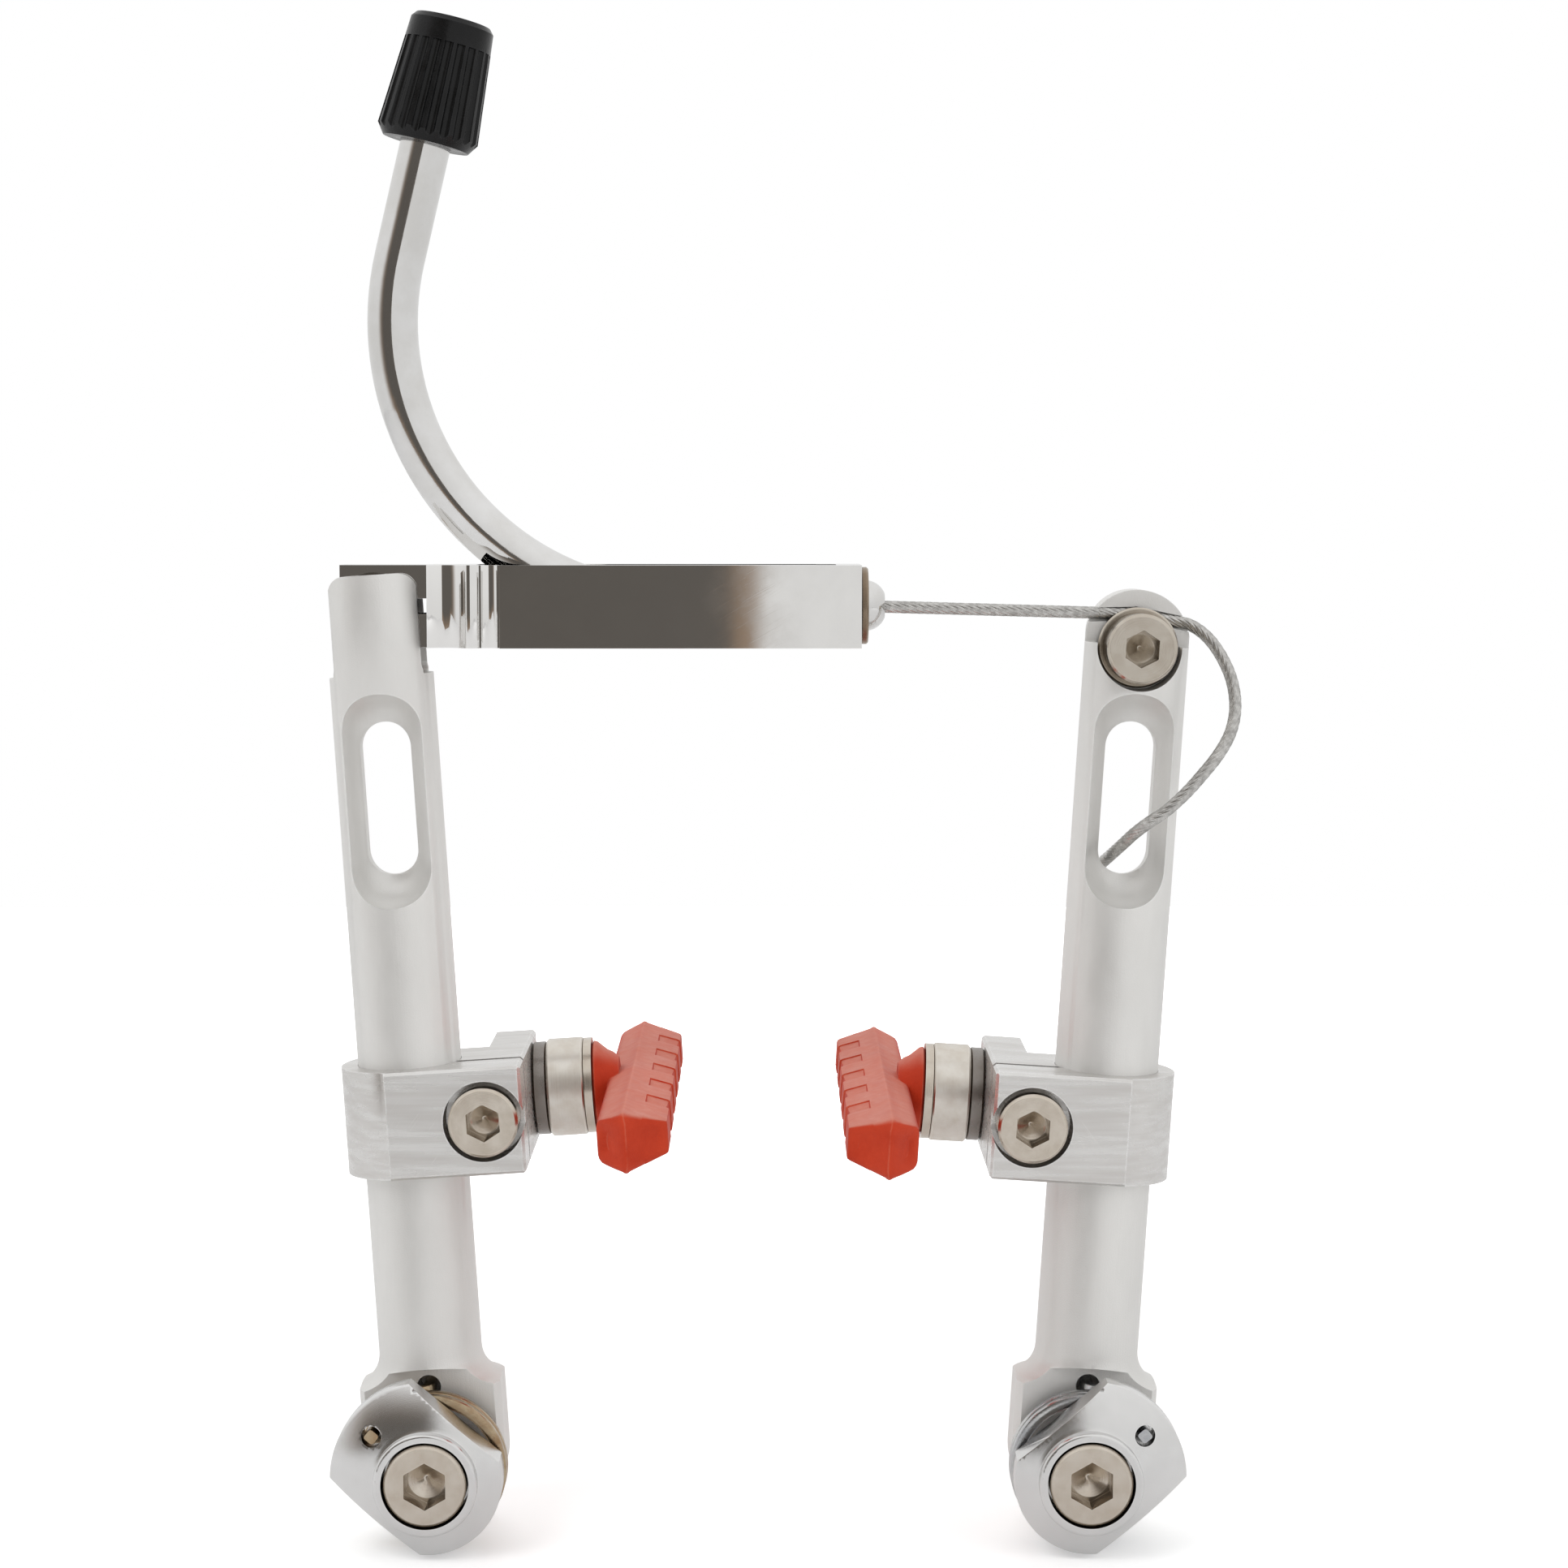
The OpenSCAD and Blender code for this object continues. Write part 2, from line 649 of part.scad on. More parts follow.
module pad_nut(height) {
    chamfer = 0.6;
    color(steel) lean() on_post(height) difference() {
        rotate_extrude() polygon([
            [0, x_nut - nut_t], [nut_r - chamfer, x_nut - nut_t], [nut_r, x_nut - nut_t + chamfer],
            [nut_r, x_nut], [0, x_nut]
        ]);
        translate([0, 0, x_nut - nut_t - past])
            cylinder(r = nut_hex / 2 / cos(30), h = nut_socket + past, $fn = 6);
        translate([0, 0, x_nut - nut_t]) cylinder(r = post_r + run_gap, h = nut_t + past);
    }
}
module post_shape(fit) {
    translate([0, 0, x_nut - nut_t + post_short])
        cylinder(r = post_r + fit, h = x_pad + 1.2 - x_nut + nut_t - post_short);
    translate([pad_drop, 0, x_pad + 1 + backing[2] / 2])
        cube([backing[1] + 2 * fit, backing[0] + 2 * fit, backing[2] + 2 * fit], center = true);
}
module pad_post(height) {
    color(steel) lean() on_post(height) post_shape(0);
}
module brake_pad(height) {
    seam = pad_h / 2;
    seam_low = x_pad + 3.1;
    seam_high = x_pad + 3.8;
    back = seam - 0.9;
    back_bevel = 0.6;
    face = pad_face_h / 2;
    x_face = x_pad + pad_t;
    bevel = 2;
    half = pad_len / 2;
    neck_r = 5.6;
    neck_top_r = 4.4;
    color(rubber_red) lean() on_post(height) difference() {
        union() {
            intersection() {
                // section across the pad, run along its length
                translate([pad_drop, half, 0]) rotate([90, 0, 0])
                    linear_extrude(height = pad_len) polygon([
                        [-back + back_bevel, x_pad], [back - back_bevel, x_pad],
                        [back, x_pad + back_bevel], [seam, seam_low], [seam, seam_high],
                        [face, x_face], [-face, x_face], [-seam, seam_high], [-seam, seam_low],
                        [-back, x_pad + back_bevel]
                    ]);
                // plan of the pad with bevelled ends
                rotate([0, 90, 0]) translate([0, 0, -pad_h]) linear_extrude(height = 3 * pad_h)
                    polygon([
                        [-x_pad + past, half - bevel], [-x_pad - bevel, half],
                        [-x_face + bevel, half], [-x_face - past, half - 2 * bevel],
                        [-x_face - past, -half + 2 * bevel], [-x_face + bevel, -half],
                        [-x_pad - bevel, -half], [-x_pad + past, -half + bevel]
                    ]);
            }
            translate([0, 0, x_neck])
                cylinder(r1 = neck_r, r2 = neck_top_r, h = neck_t + 1.4);
        }
        post_shape(0);
        translate([0, 0, x_neck - past]) cylinder(r = post_r, h = past + neck_t + 1.2);
    }
}

// Link bar, seen from above: tongue, cove, bead, groove and plain body
module link_plan() {
    shoulder_half = link_half - 0.9;
    cove_r = 3.2;
    cove_x = 8.6;
    bead_r = 1.3;
    bead_x = 11.9;
    groove_r = 1.4;
    groove_x = 14.2;
    translate([-tongue_left, -tongue_half]) square([tongue_left + link_len - past, 2 * tongue_half]);
    translate([body_x, -link_half]) square([link_len - body_x, 2 * link_half]);
    difference() {
        union() {
            translate([shoulder_x, -shoulder_half])
                square([body_x - shoulder_x, 2 * shoulder_half]);
            for (s = [-1, 1])
                translate([bead_x, s * (link_half - edge - bead_r)]) circle(r = bead_r);
        }
        for (s = [-1, 1]) {
            translate([cove_x, s * (link_half + 1.05)]) circle(r = cove_r);
            translate([groove_x, s * (link_half + 0.1)]) circle(r = groove_r);
        }
    }
}
module noodle_link() {
    pocket_gap = 0.4;                          // beside the collar, along the link
    pocket_r = collar_out_r + 0.15;
    color(bright) at_link() difference() {
        translate([0, 0, -link_h / 2]) linear_extrude(height = link_h) link_plan();
        rod_y(link_screw_d / 2 + run_gap, -link_half, link_half);
        // open channel that the noodle lies in
        rotate([90, 0, 90]) translate([0, 0, channel_left])
            linear_extrude(height = wall_x - channel_left) {
                circle(r = channel_r);
                translate([-channel_r, 0]) square([2 * channel_r, link_h]);
            }
        // pocket for the collar
        rotate([90, 0, 90]) translate([0, 0, wall_x - collar_t - pocket_gap])
            linear_extrude(height = collar_t + pocket_gap) {
                circle(r = pocket_r);
                translate([-pocket_r, 0]) square([2 * pocket_r, link_h]);
            }
        rotate([0, 90, 0]) cylinder(r = noodle_r + run_gap, h = link_len + past);
    }
}
module link_screw() {
    shoulder_back = arm_r - 1.4;
    color(steel) on_left() lean() translate([0, 0, link_pivot_z]) difference() {
        union() {
            rod_y(link_screw_d / 2, -fork_gap / 2, shoulder_back + 0.2);
            rod_y(link_screw_d / 2 - 0.5, -fork_gap / 2 - 2, -fork_gap / 2 + 0.2);
            rod_y(screw_head_r, shoulder_back, shoulder_back + screw_head_t);
        }
        hex_socket(3, shoulder_back + 0.9, shoulder_back + screw_head_t + past);
    }
}
module link_washers() {
    color(dark) at_link() for (s = [-1, 1])
        translate([0, s * (tongue_half + washer_gap + link_washer_t / 2), 0]) difference() {
            rod_y(link_washer_r, -link_washer_t / 2, link_washer_t / 2);
            rod_y(link_screw_d / 2 + run_gap, -past, past);
        }
}

// Noodle, in the link's frame: straight, bend, straight
module noodle_path(r_out, r_in, x_end, top_len) {
    module section(grow = 0) {
        difference() {
            circle(r = r_out + grow);
            circle(r = r_in - grow);
        }
    }
    // the lower straight takes in the bend's first stretch, so it is a touch thicker
    translate([bend_x - joint_lap, 0, 0]) rotate([0, 90, 0])
        linear_extrude(height = x_end - bend_x + joint_lap) section(joint_step);
    translate([bend_x, 0, bend_r]) rotate([90, 0, 0]) rotate([0, 0, -90 - bend_angle])
        rotate_extrude(angle = bend_angle) translate([bend_r, 0]) section();
    translate([bend_x, 0, bend_r]) rotate([0, cap_tilt, 0]) translate([-bend_r, 0, 0])
        linear_extrude(height = top_len) section();
}
module noodle_tube() {
    color(bright) at_link() noodle_path(noodle_r, noodle_r - tube_wall, link_len + disc_t,
        neck_len + tube_in_cap);
}
module noodle_liner() {
    color(ptfe) at_link() noodle_path(liner_r, liner_bore_d / 2, link_len + disc_t,
        neck_len + tube_in_cap);
}
module noodle_collar() {
    color(steel) at_link() translate([wall_x - collar_t, 0, 0]) rotate([0, 90, 0]) difference() {
        cylinder(r = collar_out_r, h = collar_t);
        translate([0, 0, -past]) cylinder(r = noodle_r + joint_step + 0.01, h = collar_t + 2 * past);
    }
}
module seat_disc() {
    color(dark) at_link() translate([link_len, 0, 0]) rotate([0, 90, 0]) difference() {
        rotate_extrude() polygon([[0, 0], [disc_r - 0.2, 0], [disc_r, 0.2],
            [disc_r, disc_t - 0.2], [disc_r - 0.2, disc_t], [0, disc_t]]);
        translate([0, 0, -past]) cylinder(r = noodle_r + run_gap, h = disc_t + 2 * past);
    }
}
module noodle_nose() {
    base_r = noodle_r + 0.15;
    round_r = 2.6;
    color(bright) at_link() translate([link_len + disc_t, 0, 0]) rotate([0, 90, 0])
        rotate_extrude() difference() {
            intersection() {
                square([base_r, nose_len]);
                translate([base_r - round_r - 0.1, -0.35]) circle(r = round_r);
            }
            translate([-past, -past]) square([liner_bore_d / 2 + past, nose_len + 2 * past]);
        }
}
module noodle_cap() {
    base_r = 6.15;
    base_bevel = 0.9;
    base_band = 3;
    top_r = 5.05;
    top_bevel = 0.5;
    flutes = 22;
    flute_r = 0.6;
    flute_lean = 4.4;
    color(black) at_link() translate([bend_x, 0, bend_r]) rotate([0, cap_tilt, 0])
        translate([-bend_r, 0, neck_len]) difference() {
            rotate_extrude() polygon([
                [0, 0], [base_r - base_bevel, 0], [base_r, 1.3], [base_r - 0.15, base_band],
                [top_r, cap_len - 0.6], [top_r - top_bevel, cap_len], [0, cap_len]
            ]);
            translate([0, 0, -past]) cylinder(r = noodle_r + run_gap, h = tube_in_cap + past);
            cylinder(r = liner_bore_d / 2, h = cap_len);
            translate([0, 0, tube_in_cap + 0.6])
                cylinder(r = housing_d / 2 + 0.1, h = cap_len);
            for (i = [0:flutes - 1]) rotate([0, 0, 360 * i / flutes])
                translate([base_r + 0.35, 0, -past]) rotate([0, -flute_lean, 0])
                    cylinder(r = flute_r, h = cap_len - 2);
        }
}

// Anchor and cable
module anchor_bolt() {
    color(steel) on_right() lean() translate([0, 0, anchor_z])
        cap_bolt(m5_head_r, m5_head_t, m5_r - run_gap, m5_hex, washer_front - m5_head_t,
            arm_r - 1.2, 2.6);
}
module anchor_washer() {
    color(steel) on_right() lean() translate([0, 0, anchor_z]) difference() {
        turned_y(washer_front) polygon([
            [0, 0], [washer_r - 0.2, 0], [washer_r, 0.2], [washer_r, washer_t], [0, washer_t]
        ]);
        rod_y(m5_r + 0.2, washer_front - past, washer_back + past);
    }
}
module cable_in_noodle() {
    wrap = bend_angle - 9;
    color(steel) at_link() {
        translate([bend_x, 0, bend_r]) rotate([90, 0, 0]) rotate([0, 0, -90 - bend_angle])
            rotate_extrude(angle = wrap) translate([bend_r, 0]) circle(r = cable_r);
        translate([bend_x, 0, bend_r]) rotate([0, cap_tilt, 0]) translate([-bend_r, 0, 0])
            cylinder(r = cable_r, h = neck_len + tube_in_cap);
    }
}
module cable_run() {
    span = cable_hinge_x - link_x - link_len - disc_t - nose_len;
    slope = atan((link_z - nose_sag - cable_hinge_z) / span);
    color(steel) translate([cable_hinge_x, 0, cable_hinge_z]) rotate([0, slope - 90, 0])
        translate([0, 0, hinge_gap]) cylinder(r = cable_r, h = cable_hinge_x - run_start_x);
}
module cable_tail() {
    color(steel) cord_tube(tail_points, cable_r, 8);
}
module cable_end_cap() {
    from = tail_points[end_cap_start];
    reach = norm(tail_points[len(tail_points) - 1] - from) + 0.1;
    dir = unit(tail_points[end_cap_start + 1] - from);
    bore_r = cable_r + run_gap;
    color(bright) translate(from) rotate([0, acos(dir[2]), atan2(dir[1], dir[0])])
        rotate_extrude() polygon([
            [bore_r, 0], [end_cap_r, 0], [end_cap_r, end_cap_len - 0.4],
            [end_cap_r - 0.4, end_cap_len], [0, end_cap_len], [0, reach], [bore_r, reach]
        ]);
}

left_arm();
on_left() pivot_bush();  // left_pivot_bush
on_left() return_spring(gold);  // left_return_spring
on_left() tension_cap();  // left_tension_cap
on_left() pivot_bolt();  // left_pivot_bolt
on_left() pad_clamp(left_clamp_z);  // left_pad_clamp
on_left() clamp_bolt(left_clamp_z);  // left_clamp_bolt
on_left() brake_pad(left_clamp_z);  // left_brake_pad
on_left() pad_post(left_clamp_z);  // left_pad_post
on_left() spacer_washer(left_clamp_z);  // left_spacer_washer
on_left() cup_washer(left_clamp_z);  // left_cup_washer
on_left() ball_washer(left_clamp_z);  // left_ball_washer
on_left() outer_cup_washer(left_clamp_z);  // left_outer_cup_washer
on_left() outer_ball_washer(left_clamp_z);  // left_outer_ball_washer
on_left() pad_nut(left_clamp_z);  // left_pad_nut
right_arm();
on_right() pivot_bush();  // right_pivot_bush
on_right() return_spring(steel);  // right_return_spring
on_right() tension_cap();  // right_tension_cap
on_right() pivot_bolt();  // right_pivot_bolt
on_right() pad_clamp(right_clamp_z);  // right_pad_clamp
on_right() clamp_bolt(right_clamp_z);  // right_clamp_bolt
on_right() brake_pad(right_clamp_z);  // right_brake_pad
on_right() pad_post(right_clamp_z);  // right_pad_post
on_right() spacer_washer(right_clamp_z);  // right_spacer_washer
on_right() cup_washer(right_clamp_z);  // right_cup_washer
on_right() ball_washer(right_clamp_z);  // right_ball_washer
on_right() outer_cup_washer(right_clamp_z);  // right_outer_cup_washer
on_right() outer_ball_washer(right_clamp_z);  // right_outer_ball_washer
on_right() pad_nut(right_clamp_z);  // right_pad_nut
noodle_link();
link_screw();
link_washers();
noodle_tube();
noodle_liner();
noodle_collar();
seat_disc();
noodle_nose();
noodle_cap();
anchor_bolt();
anchor_washer();
cable_in_noodle();
cable_run();
cable_tail();
cable_end_cap();
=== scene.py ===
import math

import bmesh
import bpy
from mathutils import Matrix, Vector


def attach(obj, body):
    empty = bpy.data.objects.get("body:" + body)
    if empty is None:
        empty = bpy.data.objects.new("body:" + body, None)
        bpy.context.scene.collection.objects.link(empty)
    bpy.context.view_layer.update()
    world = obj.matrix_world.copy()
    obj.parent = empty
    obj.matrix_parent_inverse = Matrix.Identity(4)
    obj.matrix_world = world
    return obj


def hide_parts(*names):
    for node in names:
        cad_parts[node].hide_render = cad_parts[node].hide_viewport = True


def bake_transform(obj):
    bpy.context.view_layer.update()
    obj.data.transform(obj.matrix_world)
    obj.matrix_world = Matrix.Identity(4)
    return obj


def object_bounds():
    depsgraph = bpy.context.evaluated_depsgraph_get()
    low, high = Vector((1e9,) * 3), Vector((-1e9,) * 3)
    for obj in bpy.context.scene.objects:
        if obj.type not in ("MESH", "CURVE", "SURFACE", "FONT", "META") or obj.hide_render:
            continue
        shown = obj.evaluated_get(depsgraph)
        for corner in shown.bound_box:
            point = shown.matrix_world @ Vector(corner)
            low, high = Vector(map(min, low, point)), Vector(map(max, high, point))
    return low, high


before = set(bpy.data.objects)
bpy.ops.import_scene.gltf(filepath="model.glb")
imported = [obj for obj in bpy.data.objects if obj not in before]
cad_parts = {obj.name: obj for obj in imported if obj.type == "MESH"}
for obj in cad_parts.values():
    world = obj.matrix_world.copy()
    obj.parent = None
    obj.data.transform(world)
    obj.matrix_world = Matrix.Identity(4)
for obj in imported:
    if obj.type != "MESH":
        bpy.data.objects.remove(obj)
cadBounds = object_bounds()

# Lengths below are millimetres in the frame of the brake, turned into metres where a mesh is made
mm = 0.001
scene = bpy.context.scene
scene.view_settings.view_transform = "Standard"
armLean = math.radians(3.6)    # each arm leans away from the wheel
pivotX = 40.0                  # half the distance between the frame bosses
sideSign = {"left": -1, "right": 1}


def armPoint(side, x, y, z):
    # x towards the wheel, y away from the viewer, z along the arm
    across = -pivotX + x * math.cos(armLean) - z * math.sin(armLean)
    up = x * math.sin(armLean) + z * math.cos(armLean)
    return Vector((across if side == "left" else -across, y, up))


def toMetres(points):
    return [Vector(p) * mm for p in points]


def addMesh(name, vertices, faces, smoothAngle=30):
    # one closed mesh from points in millimetres
    data = bpy.data.meshes.new(name)
    data.from_pydata(toMetres(vertices), [], faces)
    data.update()
    piece = bpy.data.objects.new(name, data)
    scene.collection.objects.link(piece)
    shape = bmesh.new()
    shape.from_mesh(data)
    bmesh.ops.recalc_face_normals(shape, faces=shape.faces)
    shape.to_mesh(data)
    shape.free()
    data.shade_smooth()
    data.set_sharp_from_angle(angle=math.radians(smoothAngle))
    return piece


def loft(rings, closeEnds=True):
    # points and faces of a tube through rings that have as many points each
    count = len(rings[0])
    points = [p for ring in rings for p in ring]
    faces = []
    for j in range(len(rings) - 1):
        for i in range(count):
            a = j * count + i
            b = j * count + (i + 1) % count
            faces.append((a, b, b + count, a + count))
    if closeEnds:
        faces.append(tuple(range(count - 1, -1, -1)))
        last = (len(rings) - 1) * count
        faces.append(tuple(range(last, last + count)))
    return points, faces


print("camera and studio")
photo = {
    "place": (1.17, -401.4, 115.9), "pitch": -4.67, "yaw": 0.283,    # the angles in degrees
    "lens": 75.34, "sensor": 36.0,
    "nearest": 10.0,                                                 # clipping
}


def addCamera():
    data = bpy.data.cameras.new("photoView")
    data.lens = photo["lens"]
    data.sensor_width = photo["sensor"]
    data.sensor_fit = "HORIZONTAL"
    data.clip_start = photo["nearest"] * mm
    holder = bpy.data.objects.new("photoView", data)
    holder.location = Vector(photo["place"]) * mm
    holder.rotation_euler = (math.radians(90 + photo["pitch"]), 0, math.radians(-photo["yaw"]))
    scene.collection.objects.link(holder)
    scene.camera = holder


studio = {
    "ambient": 0.66,                    # light from all round on matt surfaces
    "wallLow": (0.80, 0.80, 0.795),     # what metal sees all round, near the floor and overhead
    "wallHigh": (1.0, 1.0, 0.995),
    "wallRise": (-25, 60),
    "room": (0.125, 0.114, 0.102),      # the darker room that metal sees behind the viewer
    "wood": (0.30, 0.215, 0.15),        # a warm strip round the room
    "roomFrom": -48, "roomTo": -0.6,    # degrees to the right of the viewer's side
    "roomSoft": (14, 0.15),             # how softly each side of the room begins
    "woodRight": 0.45, "woodAround": 4.5,   # degrees by which it is the wider
    "roomFloor": -7, "roomCeiling": 30,
    "roomFloorSoft": 4, "roomCeilingSoft": 18,
    "floorHalf": 650,                   # half the floor's side
    "floorDrop": 0.4,                   # how far it lies below the lowest point
    "floorColour": (0.92, 0.92, 0.92),
    "floorGlow": (0.34, 1.0),           # white added to the floor as it is seen, near and far
    "glowReach": (120, 330),            # from the middle of the floor
    "aimHeight": 80,                    # what the lamps point at
}
lamps = {
    "key": {"place": (-420, -420, 620), "size": 460, "power": 1.45},
    "fill": {"place": (520, -360, 260), "size": 420, "power": 0.65},
    "rim": {"place": (-60, 480, 520), "size": 420, "power": 0.75},
}


def node(tree, kind, operation=None, **inputs):
    # a node with its inputs set or linked, named by their labels with _ for a space, or in0, in1
    made = tree.nodes.new("ShaderNode" + kind)
    if operation:
        made.operation = operation
    for label, value in inputs.items():
        numbered = label.startswith("in")
        socket = made.inputs[int(label[2:]) if numbered else label.replace("_", " ")]
        if isinstance(value, bpy.types.NodeSocket):
            tree.links.new(value, socket)
        else:
            socket.default_value = value
    return made


def mathNode(tree, operation, a, b=None, c=None):
    given = {"in0": a}
    if b is not None:
        given["in1"] = b
    if c is not None:
        given["in2"] = c
    return node(tree, "Math", operation, **given).outputs[0]


def between(tree, value, low, high, lowOut=0.0, highOut=1.0):
    # a smooth step from lowOut at low to highOut at high
    made = tree.nodes.new("ShaderNodeMapRange")
    made.interpolation_type = "SMOOTHSTEP"
    tree.links.new(value, made.inputs["Value"])
    made.inputs["From Min"].default_value = low
    made.inputs["From Max"].default_value = high
    made.inputs["To Min"].default_value = lowOut
    made.inputs["To Max"].default_value = highOut
    return made.outputs["Result"]


def mixColour(tree, factor, a, b):
    made = tree.nodes.new("ShaderNodeMix")
    made.data_type = "RGBA"
    made.clamp_factor = True
    for socket, value in ((made.inputs[0], factor), (made.inputs[6], a), (made.inputs[7], b)):
        if isinstance(value, bpy.types.NodeSocket):
            tree.links.new(value, socket)
        else:
            socket.default_value = (*value, 1)
    return made.outputs[2]


def times(tree, value, amount):
    return mathNode(tree, "MULTIPLY", value, amount)


def addWorld():
    world = bpy.data.worlds.new("whiteStudio")
    scene.world = world
    world.use_nodes = True
    tree = world.node_tree
    tree.nodes.clear()
    direction = node(tree, "TexCoord").outputs["Generated"]
    x, y, z = node(tree, "SeparateXYZ", Vector=direction).outputs
    degrees = 180 / math.pi
    azimuth = times(tree, mathNode(tree, "ARCTAN2", x, times(tree, y, -1.0)), degrees)
    elevation = times(tree, mathNode(tree, "ARCSINE", z), degrees)
    leftSoft, rightSoft = studio["roomSoft"]
    floorSoft, ceilingSoft = studio["roomFloorSoft"], studio["roomCeilingSoft"]

    def patch(widen, right):
        # a window of directions on the viewer's side, wider by that many degrees
        left, end = studio["roomFrom"] - widen, studio["roomTo"] + right
        low, high = studio["roomFloor"] - widen, studio["roomCeiling"]
        sideways = times(tree, between(tree, azimuth, left - leftSoft, left + leftSoft),
                         between(tree, azimuth, end - rightSoft, end + rightSoft, 1, 0))
        upright = times(tree, between(tree, elevation, low - floorSoft, low + floorSoft),
                        between(tree, elevation, high - ceilingSoft, high + ceilingSoft, 1, 0))
        return times(tree, sideways, upright)

    rise = between(tree, elevation, *studio["wallRise"])
    seen = mixColour(tree, rise, studio["wallLow"], studio["wallHigh"])
    wood = patch(studio["woodAround"], studio["woodRight"])
    seen = mixColour(tree, wood, seen, studio["wood"])
    seen = mixColour(tree, patch(0, 0), seen, studio["room"])
    rays = node(tree, "LightPath").outputs
    matt = node(tree, "Background", Color=(1, 1, 1, 1), Strength=studio["ambient"])
    mirror = node(tree, "Background", Color=seen, Strength=1.0)
    backdrop = node(tree, "Background", Color=(1, 1, 1, 1), Strength=1.0)
    shiny = mathNode(tree, "MAXIMUM", rays["Is Glossy Ray"], rays["Is Transmission Ray"])
    lit = node(tree, "MixShader", in0=shiny, in1=matt.outputs[0], in2=mirror.outputs[0])
    shown = node(tree, "MixShader", in0=rays["Is Camera Ray"], in1=lit.outputs[0],
                 in2=backdrop.outputs[0])
    node(tree, "OutputWorld", Surface=shown.outputs[0])


def addLamps():
    for name, lamp in lamps.items():
        data = bpy.data.lights.new(name, "AREA")
        data.shape = "DISK"
        data.size = lamp["size"] * mm
        data.energy = lamp["power"]
        holder = bpy.data.objects.new(name, data)
        holder.location = Vector(lamp["place"]) * mm
        aim = Vector((0, 0, studio["aimHeight"] * mm)) - holder.location
        holder.rotation_euler = aim.to_track_quat("-Z", "Y").to_euler()
        holder.visible_glossy = False    # polished parts mirror the room, not the lamps
        scene.collection.objects.link(holder)


def addFloor():
    half = studio["floorHalf"]
    level = cadBounds[0].z / mm - studio["floorDrop"]
    corners = [(x * half, y * half, level) for x, y in ((-1, -1), (1, -1), (1, 1), (-1, 1))]
    floor = addMesh("studioFloor", corners, [(0, 1, 2, 3)])
    material = bpy.data.materials.new("paleFloor")
    material.use_nodes = True
    tree = material.node_tree
    tree.nodes.clear()
    matt = node(tree, "BsdfDiffuse", Color=(*studio["floorColour"], 1))
    white = node(tree, "Emission", Color=(1, 1, 1, 1))
    rays = node(tree, "LightPath").outputs
    straight = mathNode(tree, "MAXIMUM", rays["Is Camera Ray"], rays["Is Transmission Ray"])
    away = node(tree, "VectorMath", "LENGTH", in0=node(tree, "TexCoord").outputs["Object"])
    reach = [r * mm for r in studio["glowReach"]]
    glow = between(tree, away.outputs["Value"], *reach, *studio["floorGlow"])
    tree.links.new(times(tree, straight, glow), white.inputs["Strength"])
    both = node(tree, "AddShader", in0=matt.outputs[0], in1=white.outputs[0])
    node(tree, "OutputMaterial", Surface=both.outputs[0])
    floor.data.materials.append(material)


addCamera()
addWorld()
addLamps()
addFloor()

print("shared effects")


def effectGroup(name, inputs, output):
    # a shader group with named sockets; inputs are name, kind, value
    tree = bpy.data.node_groups.new(name, "ShaderNodeTree")
    for label, kind, value in inputs:
        socket = tree.interface.new_socket(
            name=label, in_out="INPUT", socket_type="NodeSocket" + kind)
        socket.default_value = value
    tree.interface.new_socket(name=output, in_out="OUTPUT", socket_type="NodeSocketFloat")
    given = tree.nodes.new("NodeGroupInput").outputs
    return tree, given, tree.nodes.new("NodeGroupOutput").inputs[output]


def makeGrain():
    # noise drawn out along one way: brushing, blasting, moulding grain or smudges
    tree, given, out = effectGroup("surfaceGrain", [
        ("Size", "Float", 1.0), ("Stretch", "Vector", (1, 1, 1)), ("Turn", "Vector", (0, 0, 0)),
        ("Detail", "Float", 3.0), ("Low", "Float", 0.35), ("High", "Float", 0.65)], "Grain")
    point = node(tree, "TexCoord").outputs["Object"]
    rotated = node(tree, "VectorRotate", Vector=point)
    rotated.rotation_type = "EULER_XYZ"
    tree.links.new(given["Turn"], rotated.inputs["Rotation"])
    perMetre = node(tree, "VectorMath", "SCALE", in0=rotated.outputs[0])
    tree.links.new(mathNode(tree, "DIVIDE", 1 / mm, given["Size"]), perMetre.inputs["Scale"])
    drawn = node(tree, "VectorMath", "DIVIDE", in0=perMetre.outputs[0], in1=given["Stretch"])
    noise = node(tree, "TexNoise", Vector=drawn.outputs[0], Scale=1.0, Roughness=0.6)
    tree.links.new(given["Detail"], noise.inputs["Detail"])
    ranged = tree.nodes.new("ShaderNodeMapRange")
    tree.links.new(noise.outputs[0], ranged.inputs["Value"])
    tree.links.new(given["Low"], ranged.inputs["From Min"])
    tree.links.new(given["High"], ranged.inputs["From Max"])
    tree.links.new(ranged.outputs[0], out)
    return tree


